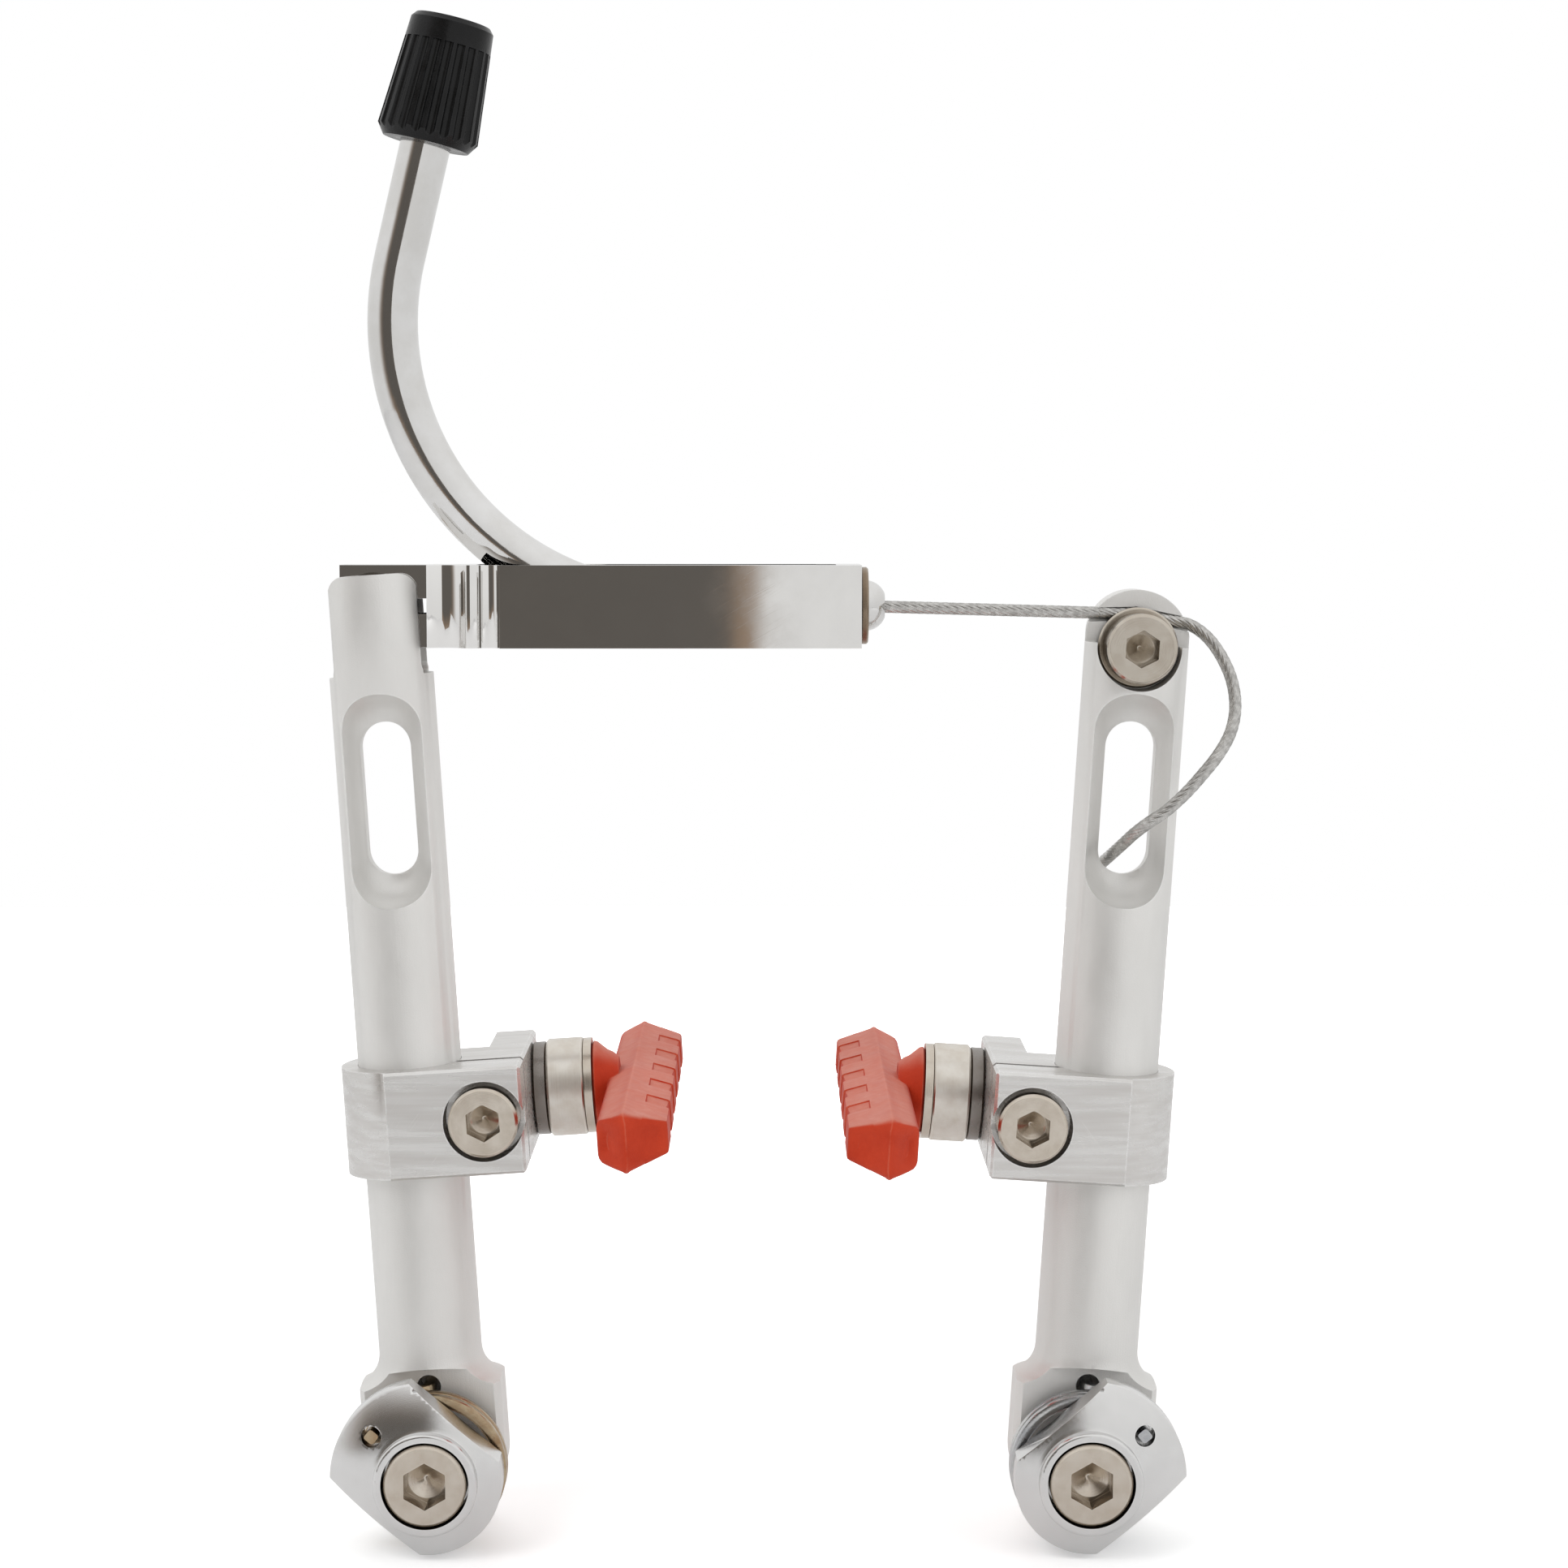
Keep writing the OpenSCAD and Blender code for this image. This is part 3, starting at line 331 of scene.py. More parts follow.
def makeRings():
    # fine turning marks round an axis
    tree, given, out = effectGroup("turningMarks", [
        ("Centre", "Vector", (0, 0, 0)), ("Axis", "Vector", (0, 1, 0)),
        ("Spacing", "Float", 0.2)], "Marks")
    point = node(tree, "TexCoord").outputs["Object"]
    offset = node(tree, "VectorMath", "SUBTRACT", in0=point, in1=given["Centre"]).outputs[0]
    across = node(tree, "VectorMath", "CROSS_PRODUCT", in0=offset, in1=given["Axis"])
    distance = node(tree, "VectorMath", "LENGTH", in0=across.outputs[0]).outputs["Value"]
    along = node(tree, "VectorMath", "DOT_PRODUCT", in0=offset, in1=given["Axis"])
    way = mathNode(tree, "ADD", distance, along.outputs["Value"])
    steps = mathNode(tree, "DIVIDE", way, times(tree, given["Spacing"], mm))
    noise = tree.nodes.new("ShaderNodeTexNoise")
    noise.noise_dimensions = "1D"
    tree.links.new(steps, noise.inputs["W"])
    noise.inputs["Scale"].default_value = 1.0
    noise.inputs["Detail"].default_value = 2.0
    tree.links.new(between(tree, noise.outputs[0], 0.3, 0.7), out)
    return tree


def makeEdgeWear():
    # a mask that is high along outside and inside edges, broken up by noise
    tree, given, out = effectGroup("edgeWear", [
        ("Radius", "Float", 0.3), ("Breakup", "Float", 1.2)], "Edge")
    rounded = tree.nodes.new("ShaderNodeBevel")
    rounded.samples = 4
    tree.links.new(times(tree, given["Radius"], mm), rounded.inputs["Radius"])
    flat = node(tree, "NewGeometry").outputs["Normal"]
    facing = node(tree, "VectorMath", "DOT_PRODUCT", in0=rounded.outputs[0], in1=flat)
    edge = between(tree, facing.outputs["Value"], 0.995, 0.90)
    point = node(tree, "TexCoord").outputs["Object"]
    noise = node(tree, "TexNoise", Vector=point, Detail=3.0)
    tree.links.new(mathNode(tree, "DIVIDE", 1 / mm, given["Breakup"]), noise.inputs["Scale"])
    tree.links.new(times(tree, edge, between(tree, noise.outputs[0], 0.3, 0.6)), out)
    return tree


grainGroup = makeGrain()
ringsGroup = makeRings()
edgeGroup = makeEdgeWear()


def place(tree, group, inputs):
    made = tree.nodes.new("ShaderNodeGroup")
    made.node_tree = group
    for label, value in inputs.items():
        made.inputs[label].default_value = value
    return made.outputs[0]


def grain(tree, settings, **more):
    return place(tree, grainGroup, {**settings, **more})


def wornEdge(tree, radius, **more):
    return place(tree, edgeGroup, {"Radius": radius, **more})


def turning(tree, centre, axis, spacing):
    given = {"Centre": Vector(centre) * mm, "Axis": axis, "Spacing": spacing}
    return place(tree, ringsGroup, given)


def scaled(tree, value, low, high):
    # a mask from 0 to 1 as a value from low to high
    return mathNode(tree, "MULTIPLY_ADD", value, high - low, low)


def bump(tree, height, distance, under=None):
    made = node(tree, "Bump", Height=height, Distance=distance * mm, Strength=1.0)
    if under is not None:
        tree.links.new(under, made.inputs["Normal"])
    return made.outputs[0]


def newMaterial(name, **shaderValues):
    material = bpy.data.materials.new(name)
    material.use_nodes = True
    shader = material.node_tree.nodes["Principled BSDF"]
    for label, value in shaderValues.items():
        shader.inputs[label.replace("_", " ")].default_value = value
    return material, material.node_tree, shader.inputs


def feed(tree, shader, **links):
    for label, socket in links.items():
        tree.links.new(socket, shader[label.replace("_", " ")])


def darker(colour, factors):
    return [c * k for c, k in zip(colour, factors)]


def paint(material, *names):
    for name in names:
        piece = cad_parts[name]
        if not piece.material_slots:
            piece.data.materials.append(material)
        for slot in piece.material_slots:
            slot.material = material


blasted = {
    "metallic": 0.62, "rough": (0.40, 0.50),
    "colour": (0.80, 0.79, 0.77), "shade": (0.73, 0.72, 0.70),
    "cloud": {"Size": 9.0, "Detail": 4.0, "Stretch": (1, 1, 2.5)},
    "blasting": {"Size": 0.16, "Detail": 2.0}, "blastDepth": 0.006,
    "drawn": {"Size": 0.22, "Detail": 3.0, "Stretch": (1, 1, 90)}, "drawnDepth": 0.004,
    "edge": 0.35, "worn": (0.86, 0.86, 0.85), "wear": 0.6, "wearShine": 0.12,
}


def armAlloy(side):
    # bead blasted bar with faint draw marks along it
    material, tree, shader = newMaterial(side + "ArmAlloy", Metallic=blasted["metallic"])
    turn = (0, -sideSign[side] * armLean, 0)
    cloud = grain(tree, blasted["cloud"], Turn=turn)
    edge = wornEdge(tree, blasted["edge"])
    colour = mixColour(tree, cloud, blasted["shade"], blasted["colour"])
    colour = mixColour(tree, times(tree, edge, blasted["wear"]), colour, blasted["worn"])
    rough = mathNode(tree, "SUBTRACT", scaled(tree, cloud, *blasted["rough"]),
                     times(tree, edge, blasted["wearShine"]))
    normal = bump(tree, grain(tree, blasted["drawn"], Turn=turn), blasted["drawnDepth"])
    normal = bump(tree, grain(tree, blasted["blasting"]), blasted["blastDepth"], normal)
    feed(tree, shader, Base_Color=colour, Roughness=rough, Normal=normal)
    return material


polished = {
    "smudge": {"Size": 6.0, "Detail": 5.0, "Low": 0.4, "High": 0.7}, "smudged": (0.95, 0.95, 0.95),
    "hairs": {"Size": 0.12, "Stretch": (40, 40, 1), "Turn": (0.3, 0.5, 0.2),
              "Low": 0.6, "High": 0.7},
    "hairDepth": 0.0001,
    "ringSpacing": 0.11, "ringDepth": 0.0012,
    "edge": 0.25, "worn": (0.90, 0.90, 0.89), "wear": 0.7,
}


def mirrorAlloy(name, colour, rough, centre=None):
    # polished metal with hairline scratches, and turning marks where it was turned
    material, tree, shader = newMaterial(name, Metallic=1.0)
    smudge = grain(tree, polished["smudge"])
    edge = wornEdge(tree, polished["edge"])
    tone = mixColour(tree, smudge, colour, darker(colour, polished["smudged"]))
    tone = mixColour(tree, times(tree, edge, polished["wear"]), tone, polished["worn"])
    normal = bump(tree, grain(tree, polished["hairs"]), polished["hairDepth"])
    if centre is not None:
        rings = turning(tree, centre, (0, 1, 0), polished["ringSpacing"])
        normal = bump(tree, rings, polished["ringDepth"], normal)
    feed(tree, shader, Base_Color=tone, Roughness=scaled(tree, smudge, *rough), Normal=normal)
    return material


milled = {
    "metallic": 0.85, "rough": (0.34, 0.24),
    "colour": (0.64, 0.62, 0.60), "light": (0.71, 0.70, 0.685),
    "broad": {"Size": 1.1, "Stretch": (14, 3, 1), "Detail": 2.0},
    "cuts": {"Size": 0.16, "Stretch": (60, 8, 1), "Detail": 3.0, "Low": 0.3, "High": 0.7},
    "cutDepth": 0.0024,
    "scratches": {"Size": 0.2, "Stretch": (1, 1, 34), "Low": 0.66, "High": 0.74, "Detail": 1.0},
    "scratchTurn": 0.62, "scratchDepth": 0.004, "scratched": (0.78, 0.77, 0.75), "scratchTone": 0.5,
    "edge": 0.3, "worn": (0.92, 0.92, 0.92), "wear": 0.8, "wearShine": 0.1,
}


def milledAlloy(side):
    # saw and cutter marks across the clamp, with a few light scratches
    material, tree, shader = newMaterial(side + "ClampAlloy", Metallic=milled["metallic"])
    broad = grain(tree, milled["broad"])
    turn = (0, milled["scratchTurn"] * sideSign[side], 0)
    scratches = grain(tree, milled["scratches"], Turn=turn)
    edge = wornEdge(tree, milled["edge"])
    colour = mixColour(tree, broad, milled["colour"], milled["light"])
    scratched = times(tree, scratches, milled["scratchTone"])
    colour = mixColour(tree, scratched, colour, milled["scratched"])
    colour = mixColour(tree, times(tree, edge, milled["wear"]), colour, milled["worn"])
    rough = mathNode(tree, "SUBTRACT", scaled(tree, broad, *milled["rough"]),
                     times(tree, edge, milled["wearShine"]))
    normal = bump(tree, grain(tree, milled["cuts"]), milled["cutDepth"])
    normal = bump(tree, scratches, milled["scratchDepth"], normal)
    feed(tree, shader, Base_Color=colour, Roughness=rough, Normal=normal)
    return material


turned = {
    "rough": (0.16, 0.26), "spacing": 0.16, "depth": 0.002,
    "stain": {"Size": 2.4, "Detail": 5.0}, "stained": (0.9, 0.87, 0.84),
    "hollowReach": 2.2, "hollowSamples": 6, "hollowFrom": 0.85, "hollowTo": 0.35,
    # painted shade in hollows: how strongly the colour darkens there, and the darker tone it goes
    # to
    "grime": 0.7, "grimed": (0.40, 0.34, 0.27),
    "edge": 0.2, "wear": 0.6, "wornGain": 1.25,
}


def turnedSteel(name, colour, centre, axis, **own):
    # turned steel with rings round its axis, a thin stain, and painted shade that darkens its
    # hollows and the gaps between parts
    given = {**turned, **own}
    material, tree, shader = newMaterial(name, Metallic=1.0)
    stain = grain(tree, given["stain"])
    # painted shade: ambient occlusion darkens the colour where nearby faces hem the surface in
    hollow = tree.nodes.new("ShaderNodeAmbientOcclusion")
    hollow.samples = given["hollowSamples"]
    hollow.inputs["Distance"].default_value = given["hollowReach"] * mm
    grime = between(tree, hollow.outputs["AO"], given["hollowFrom"], given["hollowTo"],
                    0.0, given["grime"])
    tone = mixColour(tree, stain, colour, darker(colour, given["stained"]))
    tone = mixColour(tree, grime, tone, darker(colour, given["grimed"]))
    worn = [min(1, c * given["wornGain"]) for c in colour]
    tone = mixColour(tree, times(tree, wornEdge(tree, given["edge"]), given["wear"]), tone, worn)
    normal = bump(tree, turning(tree, centre, axis, given["spacing"]), given["depth"])
    rough = scaled(tree, stain, *given["rough"])
    feed(tree, shader, Base_Color=tone, Roughness=rough, Normal=normal)
    return material


chromed = {
    "smudge": {"Size": 5.0, "Detail": 5.0}, "rough": (0.05, 0.11),
    "colour": (0.74, 0.735, 0.73), "smudged": (0.68, 0.67, 0.655),
    "waves": {"Size": 2.2, "Detail": 1.0, "Low": 0.2, "High": 0.8}, "waveDepth": 0.006,
}
squareWire = {
    "film": {"Size": 3.0, "Detail": 4.0}, "rough": (0.16, 0.30),
    "drawn": {"Size": 0.15, "Stretch": (6, 6, 1)}, "drawnDepth": 0.004,
}


def filmedMetal(name, colour, second, film, rough, relief, depth):
    # bright metal in two tones under a thin film, with fine relief
    material, tree, shader = newMaterial(name, Metallic=1.0)
    mask = grain(tree, film)
    feed(tree, shader, Base_Color=mixColour(tree, mask, colour, second),
         Roughness=scaled(tree, mask, *rough), Normal=bump(tree, grain(tree, relief), depth))
    return material


def chromedTube():
    return filmedMetal("chromedTube", chromed["colour"], chromed["smudged"], chromed["smudge"],
                       chromed["rough"], chromed["waves"], chromed["waveDepth"])


def springWire(name, colour, tint):
    return filmedMetal(name, colour, tint, squareWire["film"], squareWire["rough"],
                       squareWire["drawn"], squareWire["drawnDepth"])


blackPlastic = {
    "colour": (0.004, 0.004, 0.0042), "haze": (0.008, 0.008, 0.0085), "rough": (0.22, 0.36),
    "cloud": {"Size": 3.5, "Detail": 5.0}, "grain": {"Size": 0.35, "Detail": 3.0},
    "grainDepth": 0.008,
    "edge": 0.3, "worn": (0.035, 0.035, 0.037), "wear": 0.35,
}


def mouldedPlastic():
    material, tree, shader = newMaterial(
        "blackPlastic", Specular_IOR_Level=0.2, Coat_Weight=0.08, Coat_Roughness=0.12)
    haze = grain(tree, blackPlastic["cloud"])
    edge = times(tree, wornEdge(tree, blackPlastic["edge"]), blackPlastic["wear"])
    colour = mixColour(tree, haze, blackPlastic["colour"], blackPlastic["haze"])
    colour = mixColour(tree, edge, colour, blackPlastic["worn"])
    normal = bump(tree, grain(tree, blackPlastic["grain"]), blackPlastic["grainDepth"])
    feed(tree, shader, Base_Color=colour, Roughness=scaled(tree, haze, *blackPlastic["rough"]),
         Normal=normal)
    return material


redRubber = {
    "colour": (0.49, 0.034, 0.008), "light": (0.57, 0.050, 0.016), "rough": (0.52, 0.66),
    "mottle": {"Size": 4.0, "Detail": 5.0},
    "fine": {"Size": 0.22, "Detail": 3.0}, "fineDepth": 0.012,
    "dust": {"Size": 1.4, "Detail": 6.0, "Low": 0.25, "High": 0.7},
    # paler tone on up-facing faces: partly dusty bloom, partly a painted highlight from the top
    # light
    "bloom": (0.65, 0.225, 0.16), "bloomFrom": 0.55, "bloomTo": 0.98, "bloomAndLightSpread": (0.55, 0.95),
    "edge": 0.3, "breakup": 2.0, "worn": (0.74, 0.25, 0.16), "wear": 0.45,
}


def padRubber():
    # matt moulded rubber with a paler dusty bloom on what faces up, in part a painted highlight
    # where the top light falls
    material, tree, shader = newMaterial("padRubber", Specular_IOR_Level=0.2, Sheen_Weight=0.05)
    mottle = grain(tree, redRubber["mottle"])
    facing = node(tree, "NewGeometry").outputs["Normal"]
    upward = node(tree, "SeparateXYZ", Vector=facing).outputs["Z"]
    # painted highlight in part: faces turned up are lightened and broken up by dust noise, as the
    # top light would light them
    bloom = times(tree, between(tree, upward, redRubber["bloomFrom"], redRubber["bloomTo"]),
                  scaled(tree, grain(tree, redRubber["dust"]), *redRubber["bloomAndLightSpread"]))
    edge = wornEdge(tree, redRubber["edge"], Breakup=redRubber["breakup"])
    colour = mixColour(tree, mottle, redRubber["colour"], redRubber["light"])
    colour = mixColour(tree, bloom, colour, redRubber["bloom"])
    colour = mixColour(tree, times(tree, edge, redRubber["wear"]), colour, redRubber["worn"])
    normal = bump(tree, grain(tree, redRubber["fine"]), redRubber["fineDepth"])
    feed(tree, shader, Base_Color=colour, Roughness=scaled(tree, mottle, *redRubber["rough"]),
         Normal=normal)
    return material


def linerPlastic():
    material, tree, shader = newMaterial("linerPlastic", Specular_IOR_Level=0.4)
    haze = grain(tree, {"Size": 1.5, "Detail": 3.0})
    feed(tree, shader, Base_Color=mixColour(tree, haze, (0.80, 0.80, 0.75), (0.70, 0.70, 0.66)),
         Roughness=scaled(tree, haze, 0.35, 0.5))
    return material


def cableSteel():
    material, tree, shader = newMaterial("cableSteel", Metallic=1.0)
    # real grime on the cable: noise darkens the steel at random
    grime = grain(tree, {"Size": 0.7, "Detail": 4.0})
    feed(tree, shader, Base_Color=mixColour(tree, grime, (0.60, 0.59, 0.57), (0.40, 0.39, 0.375)),
         Roughness=scaled(tree, grime, 0.24, 0.38))
    return material


def crimpedAlloy():
    dents = {"Size": 0.9, "Detail": 1.0}
    return filmedMetal("endCapAlloy", (0.80, 0.80, 0.79), (0.70, 0.70, 0.69), dents, (0.22, 0.34),
                       dents, 0.05)


print("finishes")
# Base colours of the metals
tones = {
    "steel": (0.62, 0.565, 0.495), "anchor": (0.56, 0.515, 0.45),
    "bush": (0.6, 0.58, 0.55), "spacer": (0.27, 0.25, 0.235), "washer": (0.73, 0.695, 0.64),
    "linkWasher": (0.25, 0.24, 0.22), "disc": (0.30, 0.235, 0.175),
    "cap": (0.73, 0.725, 0.72), "link": (0.80, 0.79, 0.775),
}
clampHeight = {"left": 42.3, "right": 41.5}    # along each arm
postY = 13.0                                   # the pad posts run behind the arms
clampBoltX = 9.4
linkHeight = 105.2
anchorHeight = 100.1


def paintSide(side):
    sign = sideSign[side]
    pivot = (sign * pivotX, 0, 0)
    post = armPoint(side, 0, postY, clampHeight[side])
    bolt = armPoint(side, clampBoltX, 0, clampHeight[side])
    outward = (-sign * math.cos(armLean), 0, math.sin(armLean))    # along the post
    through = (0, 1, 0)
    cap = mirrorAlloy(side + "_capPolish", tones["cap"], (0.17, 0.25), pivot)
    bush = turnedSteel(side + "_bushSteel", tones["bush"], pivot, through)
    pivotBolt = turnedSteel(side + "_pivotBoltSteel", tones["steel"], pivot, through)
    clampBolt = turnedSteel(side + "_clampBoltSteel", tones["steel"], bolt, through)
    steel = turnedSteel(side + "_postSteel", tones["steel"], post, outward)
    dark = turnedSteel(side + "_spacerSteel", tones["spacer"], post, outward, rough=(0.24, 0.36))
    satin = turnedSteel(side + "_washerAlloy", tones["washer"], post, outward,
                        rough=(0.30, 0.42), spacing=0.24, depth=0.004)
    for material, parts in (
            (armAlloy(side), ("arm",)), (milledAlloy(side), ("pad_clamp",)),
            (cap, ("tension_cap",)), (bush, ("pivot_bush",)), (pivotBolt, ("pivot_bolt",)),
            (clampBolt, ("clamp_bolt",)), (dark, ("spacer_washer",)),
            (steel, ("pad_post", "ball_washer", "outer_ball_washer", "pad_nut")),
            (satin, ("cup_washer", "outer_cup_washer"))):
        paint(material, *(side + "_" + part for part in parts))


def paintMiddle():
    pivot = armPoint("left", 0, 0, linkHeight)
    anchor = armPoint("right", 0, 0, anchorHeight)
    through, across = (0, 1, 0), (1, 0, 0)
    paint(mirrorAlloy("linkPolish", tones["link"], (0.03, 0.055)), "noodle_link")
    paint(turnedSteel("linkScrewSteel", tones["steel"], pivot, through), "link_screw")
    paint(turnedSteel("linkWasherSteel", tones["linkWasher"], pivot, through), "link_washers")
    paint(turnedSteel("collarSteel", tones["steel"], pivot, across), "noodle_collar")
    paint(turnedSteel("discBrass", tones["disc"], pivot, across, rough=(0.25, 0.4)), "seat_disc")
    paint(chromedTube(), "noodle_tube", "noodle_nose")
    paint(linerPlastic(), "noodle_liner")
    paint(mouldedPlastic(), "noodle_cap")
    anchorSteel = turnedSteel("anchorSteel", tones["anchor"], anchor, through)
    paint(anchorSteel, "anchor_bolt", "anchor_washer")
    paint(crimpedAlloy(), "cable_end_cap")


for sideName in sideSign:
    paintSide(sideName)
paintMiddle()
cableFinish = cableSteel()
paint(cableFinish, "cable_in_noodle")

print("cable")
cable = {
    "radius": 0.75,
    "wires": 12,                   # outer wires
    "perWire": 4,                  # points round each wire
    "wireDepth": 0.10,             # how deep the grooves between wires are
    "layLength": 12.0,             # length over which a wire goes once round
    "step": 0.4,
    "hinge": (41.585, 0, 104.103),  # where the taut part turns at the right arm
    "runAngle": 1.62,              # degrees that the taut part rises towards the noodle
    "runFrom": 36.685,             # from its start inside the noodle to the hinge
    "hingeLap": 0.13, "bendZone": 0.6,
    "tail": [
        (41.7, 0, 104.1), (44, 0, 104), (46.3, 0, 104), (48.4, 0, 103.5), (50.5, -0.1, 103.1),
        (52.8, -0.7, 102.6), (54.9, -1.6, 101), (56.6, -2.6, 98.4), (57.6, -3.6, 95.6),
        (57.8, -4.7, 92.6), (57.1, -5.8, 89.8), (55.6, -6.8, 87.3), (53.6, -7.5, 84.9),
        (51.4, -7.8, 82.5), (49.1, -7.7, 80.4), (47.2, -7, 79), (45.7, -5.5, 77.6),
        (44.6, -3.5, 76.2), (43.8, -1.2, 75), (43.2, 1.1, 74), (42.4, 3.4, 72.8),
        (41.4, 5.8, 71.2), (41, 8.2, 69.4), (41, 10.6, 67.6), (41, 12, 66.55)],
}


def smoothPath(points, step):
    # a curve through the points, sampled about every step
    points = [Vector(p) for p in points]
    path = []
    for i in range(len(points) - 1):
        before = points[max(i - 1, 0)]
        a, b = points[i], points[i + 1]
        after = points[min(i + 2, len(points) - 1)]
        pieces = max(1, round((b - a).length / step))
        for k in range(pieces):
            t = k / pieces
            path.append(0.5 * (2 * a + (b - before) * t
                               + (2 * before - 5 * a + 4 * b - after) * t * t
                               + (3 * a - before - 3 * b + after) * t ** 3))
    path.append(points[-1])
    return path


def strandedCable(name, path):
    # a tube whose outline has a shallow wave for each wire and turns along the way
    count = cable["wires"] * cable["perWire"]
    rings = []
    travelled = 0.0
    up = Vector((0, 1, 0))
    for i, p in enumerate(path):
        ahead = (path[min(i + 1, len(path) - 1)] - path[max(i - 1, 0)]).normalized()
        up = (up - ahead * up.dot(ahead)).normalized()
        across = ahead.cross(up)
        if i:
            travelled += (p - path[i - 1]).length
        twist = 2 * math.pi * travelled / cable["layLength"]
        ring = []
        for k in range(count):
            angle = 2 * math.pi * k / count + twist
            wave = abs(math.cos(math.pi * k / cable["perWire"]))
            radius = cable["radius"] * (1 - cable["wireDepth"] * (1 - wave))
            ring.append(p + radius * (up * math.cos(angle) + across * math.sin(angle)))
        rings.append(ring)
    piece = addMesh(name, *loft(rings), smoothAngle=80)
    piece.data.materials.append(cableFinish)
    return piece


def addCable():
    hinge = Vector(cable["hinge"])
    slope = math.radians(cable["runAngle"])
    back = Vector((-math.cos(slope), 0, math.sin(slope)))
    start = hinge + back * cable["runFrom"]
    end = hinge - back * cable["hingeLap"]
    steps = round((end - start).length / cable["step"])
    runPath = [start.lerp(end, i / steps) for i in range(steps + 1)]
    run = strandedCable("cable_taut_run", runPath)
    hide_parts("cable_run")
    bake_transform(run)
    tailPath = smoothPath(cable["tail"], cable["step"])
    tail = strandedCable("cable_loose_end", tailPath)
    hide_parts("cable_tail")
    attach(tail, "right_arm_body")


addCable()

print("springs")
spring = {
    "wire": 1.40, "corner": 0.30,    # a little thinner than its holes, so that the turns show apart
    "radius": 8.575, "from": 140.0,  # degrees from the wheel's side, where the coil starts
    "turns": 2.1289, "perTurn": 60,
    "tangY": -14.4, "tangEnd": 1.0,  # the straight end in the tension cap
    "frontY": -9.325, "backY": -5.675, "endY": -1.2,
    "bend": 1.25, "bendSteps": 8, "lead": 0.8,
    "endStep": 0.3, "stepOver": 5,   # the coil's last millimetres step out to the arm's hole
    "frontBlend": (-10.4, -8.6), "backBlend": (-6.8, -5.6),
}
springTones = {
    "left": ("goldenSpring", (0.50, 0.42, 0.29), (0.34, 0.22, 0.125), "spring_gold"),
    "right": ("zincSpring", (0.60, 0.60, 0.59), (0.46, 0.47, 0.49), "spring_silver"),
}


def springPath():
    # pairs of way round and depth, and the whole way round
    around = 2 * math.pi * spring["radius"] * spring["turns"]
    front, back = spring["frontY"], spring["backY"]
    bend, lead = spring["bend"], spring["lead"]
    rise = (back - front) / around
    steps = spring["bendSteps"]
    quarter = [math.pi / 2 * i / steps for i in range(steps + 1)]
    tang = spring["tangY"]
    flat = [(0, tang), (0, tang + spring["tangEnd"]), (0, front - bend - lead)]
    flat += [(bend * (1 - math.cos(a)), front - bend * (1 - math.sin(a))) for a in quarter]
    count = round(spring["perTurn"] * spring["turns"])
    for i in range(1, count):
        s = bend + (around - 2 * bend) * i / count
        flat.append((s, front + rise * s))
    flat += [(around - bend * (1 - math.sin(a)), back + bend * (1 - math.cos(a))) for a in quarter]
    flat += [(around, back + bend + lead), (around, spring["endY"])]
    return flat, around


def wireSection():
    # a square with three points round each corner
    half, corner = spring["wire"] / 2, spring["corner"]
    points = []
    for quarter in range(4):
        for part in range(3):
            a = math.pi / 2 * (quarter + part / 2)
            cx = (half - corner) * (1 if quarter in (0, 3) else -1)
            cy = (half - corner) * (1 if quarter in (0, 1) else -1)
            points.append((cx + corner * math.cos(a), cy + corner * math.sin(a)))
    return points


def addSpring(side):
    flat, around = springPath()
    sign = sideSign[side]
    path, outward = [], []
    for s, y in flat:
        angle = math.radians(spring["from"]) - s / spring["radius"]
        over = spring["stepOver"]
        grow = spring["endStep"] * min(1, max(0, (s - around + over) / over))
        out = Vector((-sign * math.cos(angle), 0, math.sin(angle)))
        path.append(Vector((sign * pivotX, y, 0)) + out * (spring["radius"] + grow))
        outward.append(out)
    rings = []
    for i, p in enumerate(path):
        ahead = (path[min(i + 1, len(path) - 1)] - path[max(i - 1, 0)]).normalized()
        u = (outward[i] - ahead * outward[i].dot(ahead)).normalized()
        v = ahead.cross(u)
        rings.append([p + u * a + v * b for a, b in wireSection()])
    finish, colour, tint, slotName = springTones[side]
    material = springWire(finish, colour, tint)
    split = len(rings) // 2
    halves = (("front", rings[:split + 1], side + "_cap", "frame_side"),
              ("back", rings[split:], "frame_side", side + "_arm_body"))
    for half, some, first, second in halves:
        piece = addMesh(side + "_spring_" + half, *loft(some))
        piece.data.materials.append(material)
        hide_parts(side + "_return_spring")
        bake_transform(piece)


for sideName in sideSign:
    addSpring(sideName)

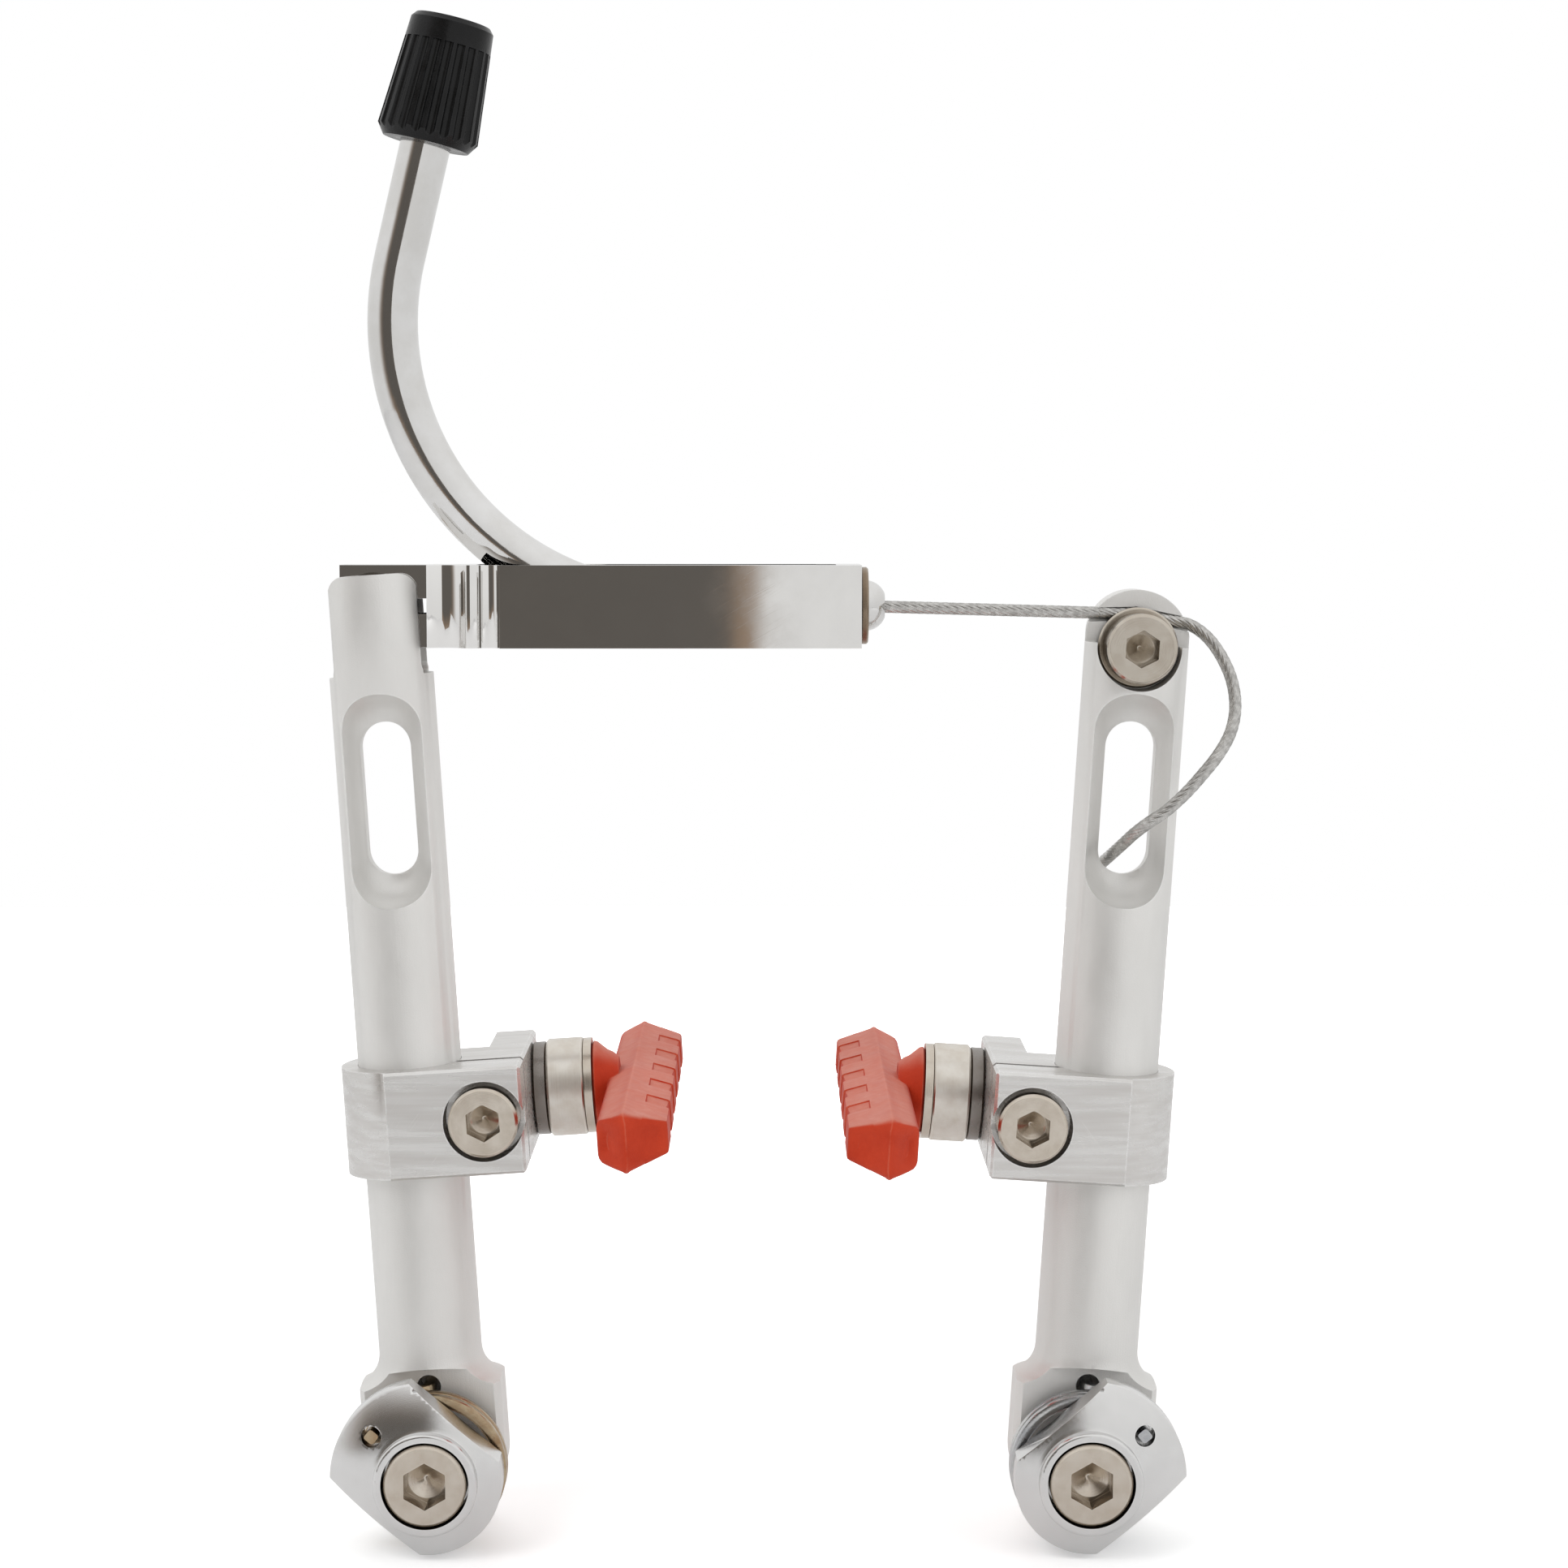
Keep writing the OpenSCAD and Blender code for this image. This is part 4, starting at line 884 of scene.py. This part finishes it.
print("pads")
pad = {
    "length": 72.0, "back": 23.65, "thick": 8.4, "drop": 1.2,
    "backHalf": 2.75, "seamHalf": 3.65, "faceHalf": 2.1,
    "backFlat": 0.6,
    "backRound": ((0, 1.1), (0.12, 0.62), (0.45, 0.22), (1.0, 0)),   # depth, and how far in
    "shoulder": 1.95,
    "seam": (2.9, 3.35, 3.8),           # start, crest and end of the moulding seam
    "seamLip": 0.22, "crestStep": (0.25, 0.08),
    "notches": (12.0, 23.5, 35.0, 46.5, 58.0),   # from the near end
    "notchLength": 5.2, "notchDeep": 0.75, "notchFrom": 5.6, "notchFade": 0.75,
    "notchWall": (0.05, 0.06),          # half its width across and along the pad
    "faceGroove": 0.9,
    "faceRound": (0.35, 0.08, 0.05, 0.3),   # two steps across, then two down
    "faceFlat": 0.5,
    "stations": (1.2, 2.2, 3.4, 5.0),   # from either end
    "between": (8.5, 17.5, 32.0, 65.5),
    # distance from the end, and how far the outline is drawn in
    "endRound": ((0.0, 1.25), (0.08, 0.78), (0.3, 0.4), (0.62, 0.16), (0.95, 0.04)),
    "endSlope": (3.0, 2.9),             # how far the back and the face fall short at each end
    "endCurve": 1.7, "endReach": 6,
    "least": 0.3,                       # least half height
    "neckStart": 21.78, "neckPoints": 40,
    # distance from its start, and radius
    "neck": ((0, 5.25), (0.25, 5.6), (0.7, 5.45), (1.9, 4.4), (2.6, 4.05), (3.3, 3.4)),
    "smooth": 32,
}


def padSection(y):
    # half outline at distance y from the near end: thickness and half height
    notch = 0.0
    for first in pad["notches"]:
        if first <= y <= first + pad["notchLength"]:
            notch = 1 - pad["notchFade"] * (y - first) / pad["notchLength"]
    seamStart, seamTop, seamEnd = pad["seam"]
    crest = pad["seamHalf"]
    lip = crest - pad["seamLip"]
    across, down = pad["crestStep"]
    slope = (crest - pad["faceHalf"]) / (pad["thick"] - seamEnd)
    cut = pad["notchDeep"] * notch

    def height(t):
        return lip - slope * (t - seamEnd)

    low = pad["backHalf"]
    outline = [(0, pad["backFlat"])] + [(t, low - short) for t, short in pad["backRound"]]
    outline += [(pad["shoulder"], (low + lip) / 2), (seamStart, lip),
                (seamTop - across, crest - down), (seamTop, crest),
                (seamTop + across, crest - down), (seamEnd, lip)]
    edge, wall = pad["notchFrom"], pad["notchWall"][0]
    outline += [(edge - wall, height(edge)), (edge + wall, height(edge) - cut)]
    last = pad["thick"] - cut * pad["faceGroove"]
    far, near, shallow, deep = pad["faceRound"]
    outline += [(last - far, height(last - far) - cut), (last - near, height(last) - cut - shallow),
                (last, height(last) - cut - deep), (last, pad["faceFlat"])]
    return outline


def padStations():
    stops = [*pad["stations"], *pad["between"], *(pad["length"] - e for e in pad["stations"])]
    wall = pad["notchWall"][1]
    for first in pad["notches"]:
        last = first + pad["notchLength"]
        stops += [first - wall, first, (first + last) / 2, last, last + wall]
    return sorted(stops)


def neckMesh(side):
    # the neck moulded round the post
    count = pad["neckPoints"]
    turns = [2 * math.pi * k / count for k in range(count)]
    return loft([[armPoint(side, pad["neckStart"] + x, postY + r * math.cos(a),
                           clampHeight[side] + r * math.sin(a)) for a in turns]
                 for x, r in pad["neck"]])


def addPad(side, material):
    length = pad["length"]

    def endShort(t):
        back, face = pad["endSlope"]
        crest = pad["seam"][1]
        if t < crest:
            return back * (1 - t / crest) ** pad["endCurve"]
        return face * (t - crest) / (pad["thick"] - crest)

    def ringAt(y, squeeze=0):
        # squeeze draws the outline in, for rounded ends
        outline = padSection(y)
        middle = pad["thick"] / 2
        # only the stretch near each end follows the slope of the end face
        near = max(0, 1 - y / pad["endReach"])
        far = max(0, 1 - (length - y) / pad["endReach"])
        ring = []
        for sign, order in ((1, outline), (-1, outline[::-1])):
            for t, h in order:
                depth = middle + (t - middle) * (1 - squeeze / middle)
                up = sign * max(pad["least"], h - squeeze)
                along = y - length / 2 + endShort(t) * (near - far)
                ring.append(armPoint(side, pad["back"] + depth, postY + along,
                                     clampHeight[side] - pad["drop"] + up))
        return ring

    rings = [ringAt(y, squeeze) for y, squeeze in pad["endRound"]]
    rings += [ringAt(y) for y in padStations()]
    rings += [ringAt(length - y, squeeze) for y, squeeze in pad["endRound"][::-1]]
    points, faces = loft(rings, closeEnds=False)
    around = len(rings[0])
    for first in (0, len(points) - around):
        # each end in strips across the thickness, so that it follows the slope
        faces += [(first + i, first + i + 1, first + around - 2 - i, first + around - 1 - i)
                  for i in range(around // 2 - 1)]
    neckPoints, neckFaces = neckMesh(side)
    faces += [tuple(i + len(points) for i in face) for face in neckFaces]
    piece = addMesh(side + "_pad_moulding", points + neckPoints, faces, pad["smooth"])
    piece.data.materials.append(material)
    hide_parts(side + "_brake_pad")
    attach(piece, side + "_pad_body")


rubber = padRubber()
for sideName in sideSign:
    addPad(sideName, rubber)

print("softened edges")
edgeRounds = {
    "side": {"arm": 0.22, "pad_clamp": 0.16, "tension_cap": 0.06, "pivot_bolt": 0.12,
             "clamp_bolt": 0.1},
    "middle": {"noodle_link": 0.26, "anchor_bolt": 0.1},
    "weld": 0.002, "segments": 2, "angle": 42,
}


def softenEdges(name, width):
    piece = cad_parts[name]
    weld = piece.modifiers.new("weld", "WELD")
    weld.merge_threshold = edgeRounds["weld"] * mm
    edge = piece.modifiers.new("edge", "BEVEL")
    edge.width = width * mm
    edge.segments = edgeRounds["segments"]
    edge.limit_method = "ANGLE"
    edge.angle_limit = math.radians(edgeRounds["angle"])


for sideName in sideSign:
    for part, width in edgeRounds["side"].items():
        softenEdges(sideName + "_" + part, width)
for part, width in edgeRounds["middle"].items():
    softenEdges(part, width)

print("done")
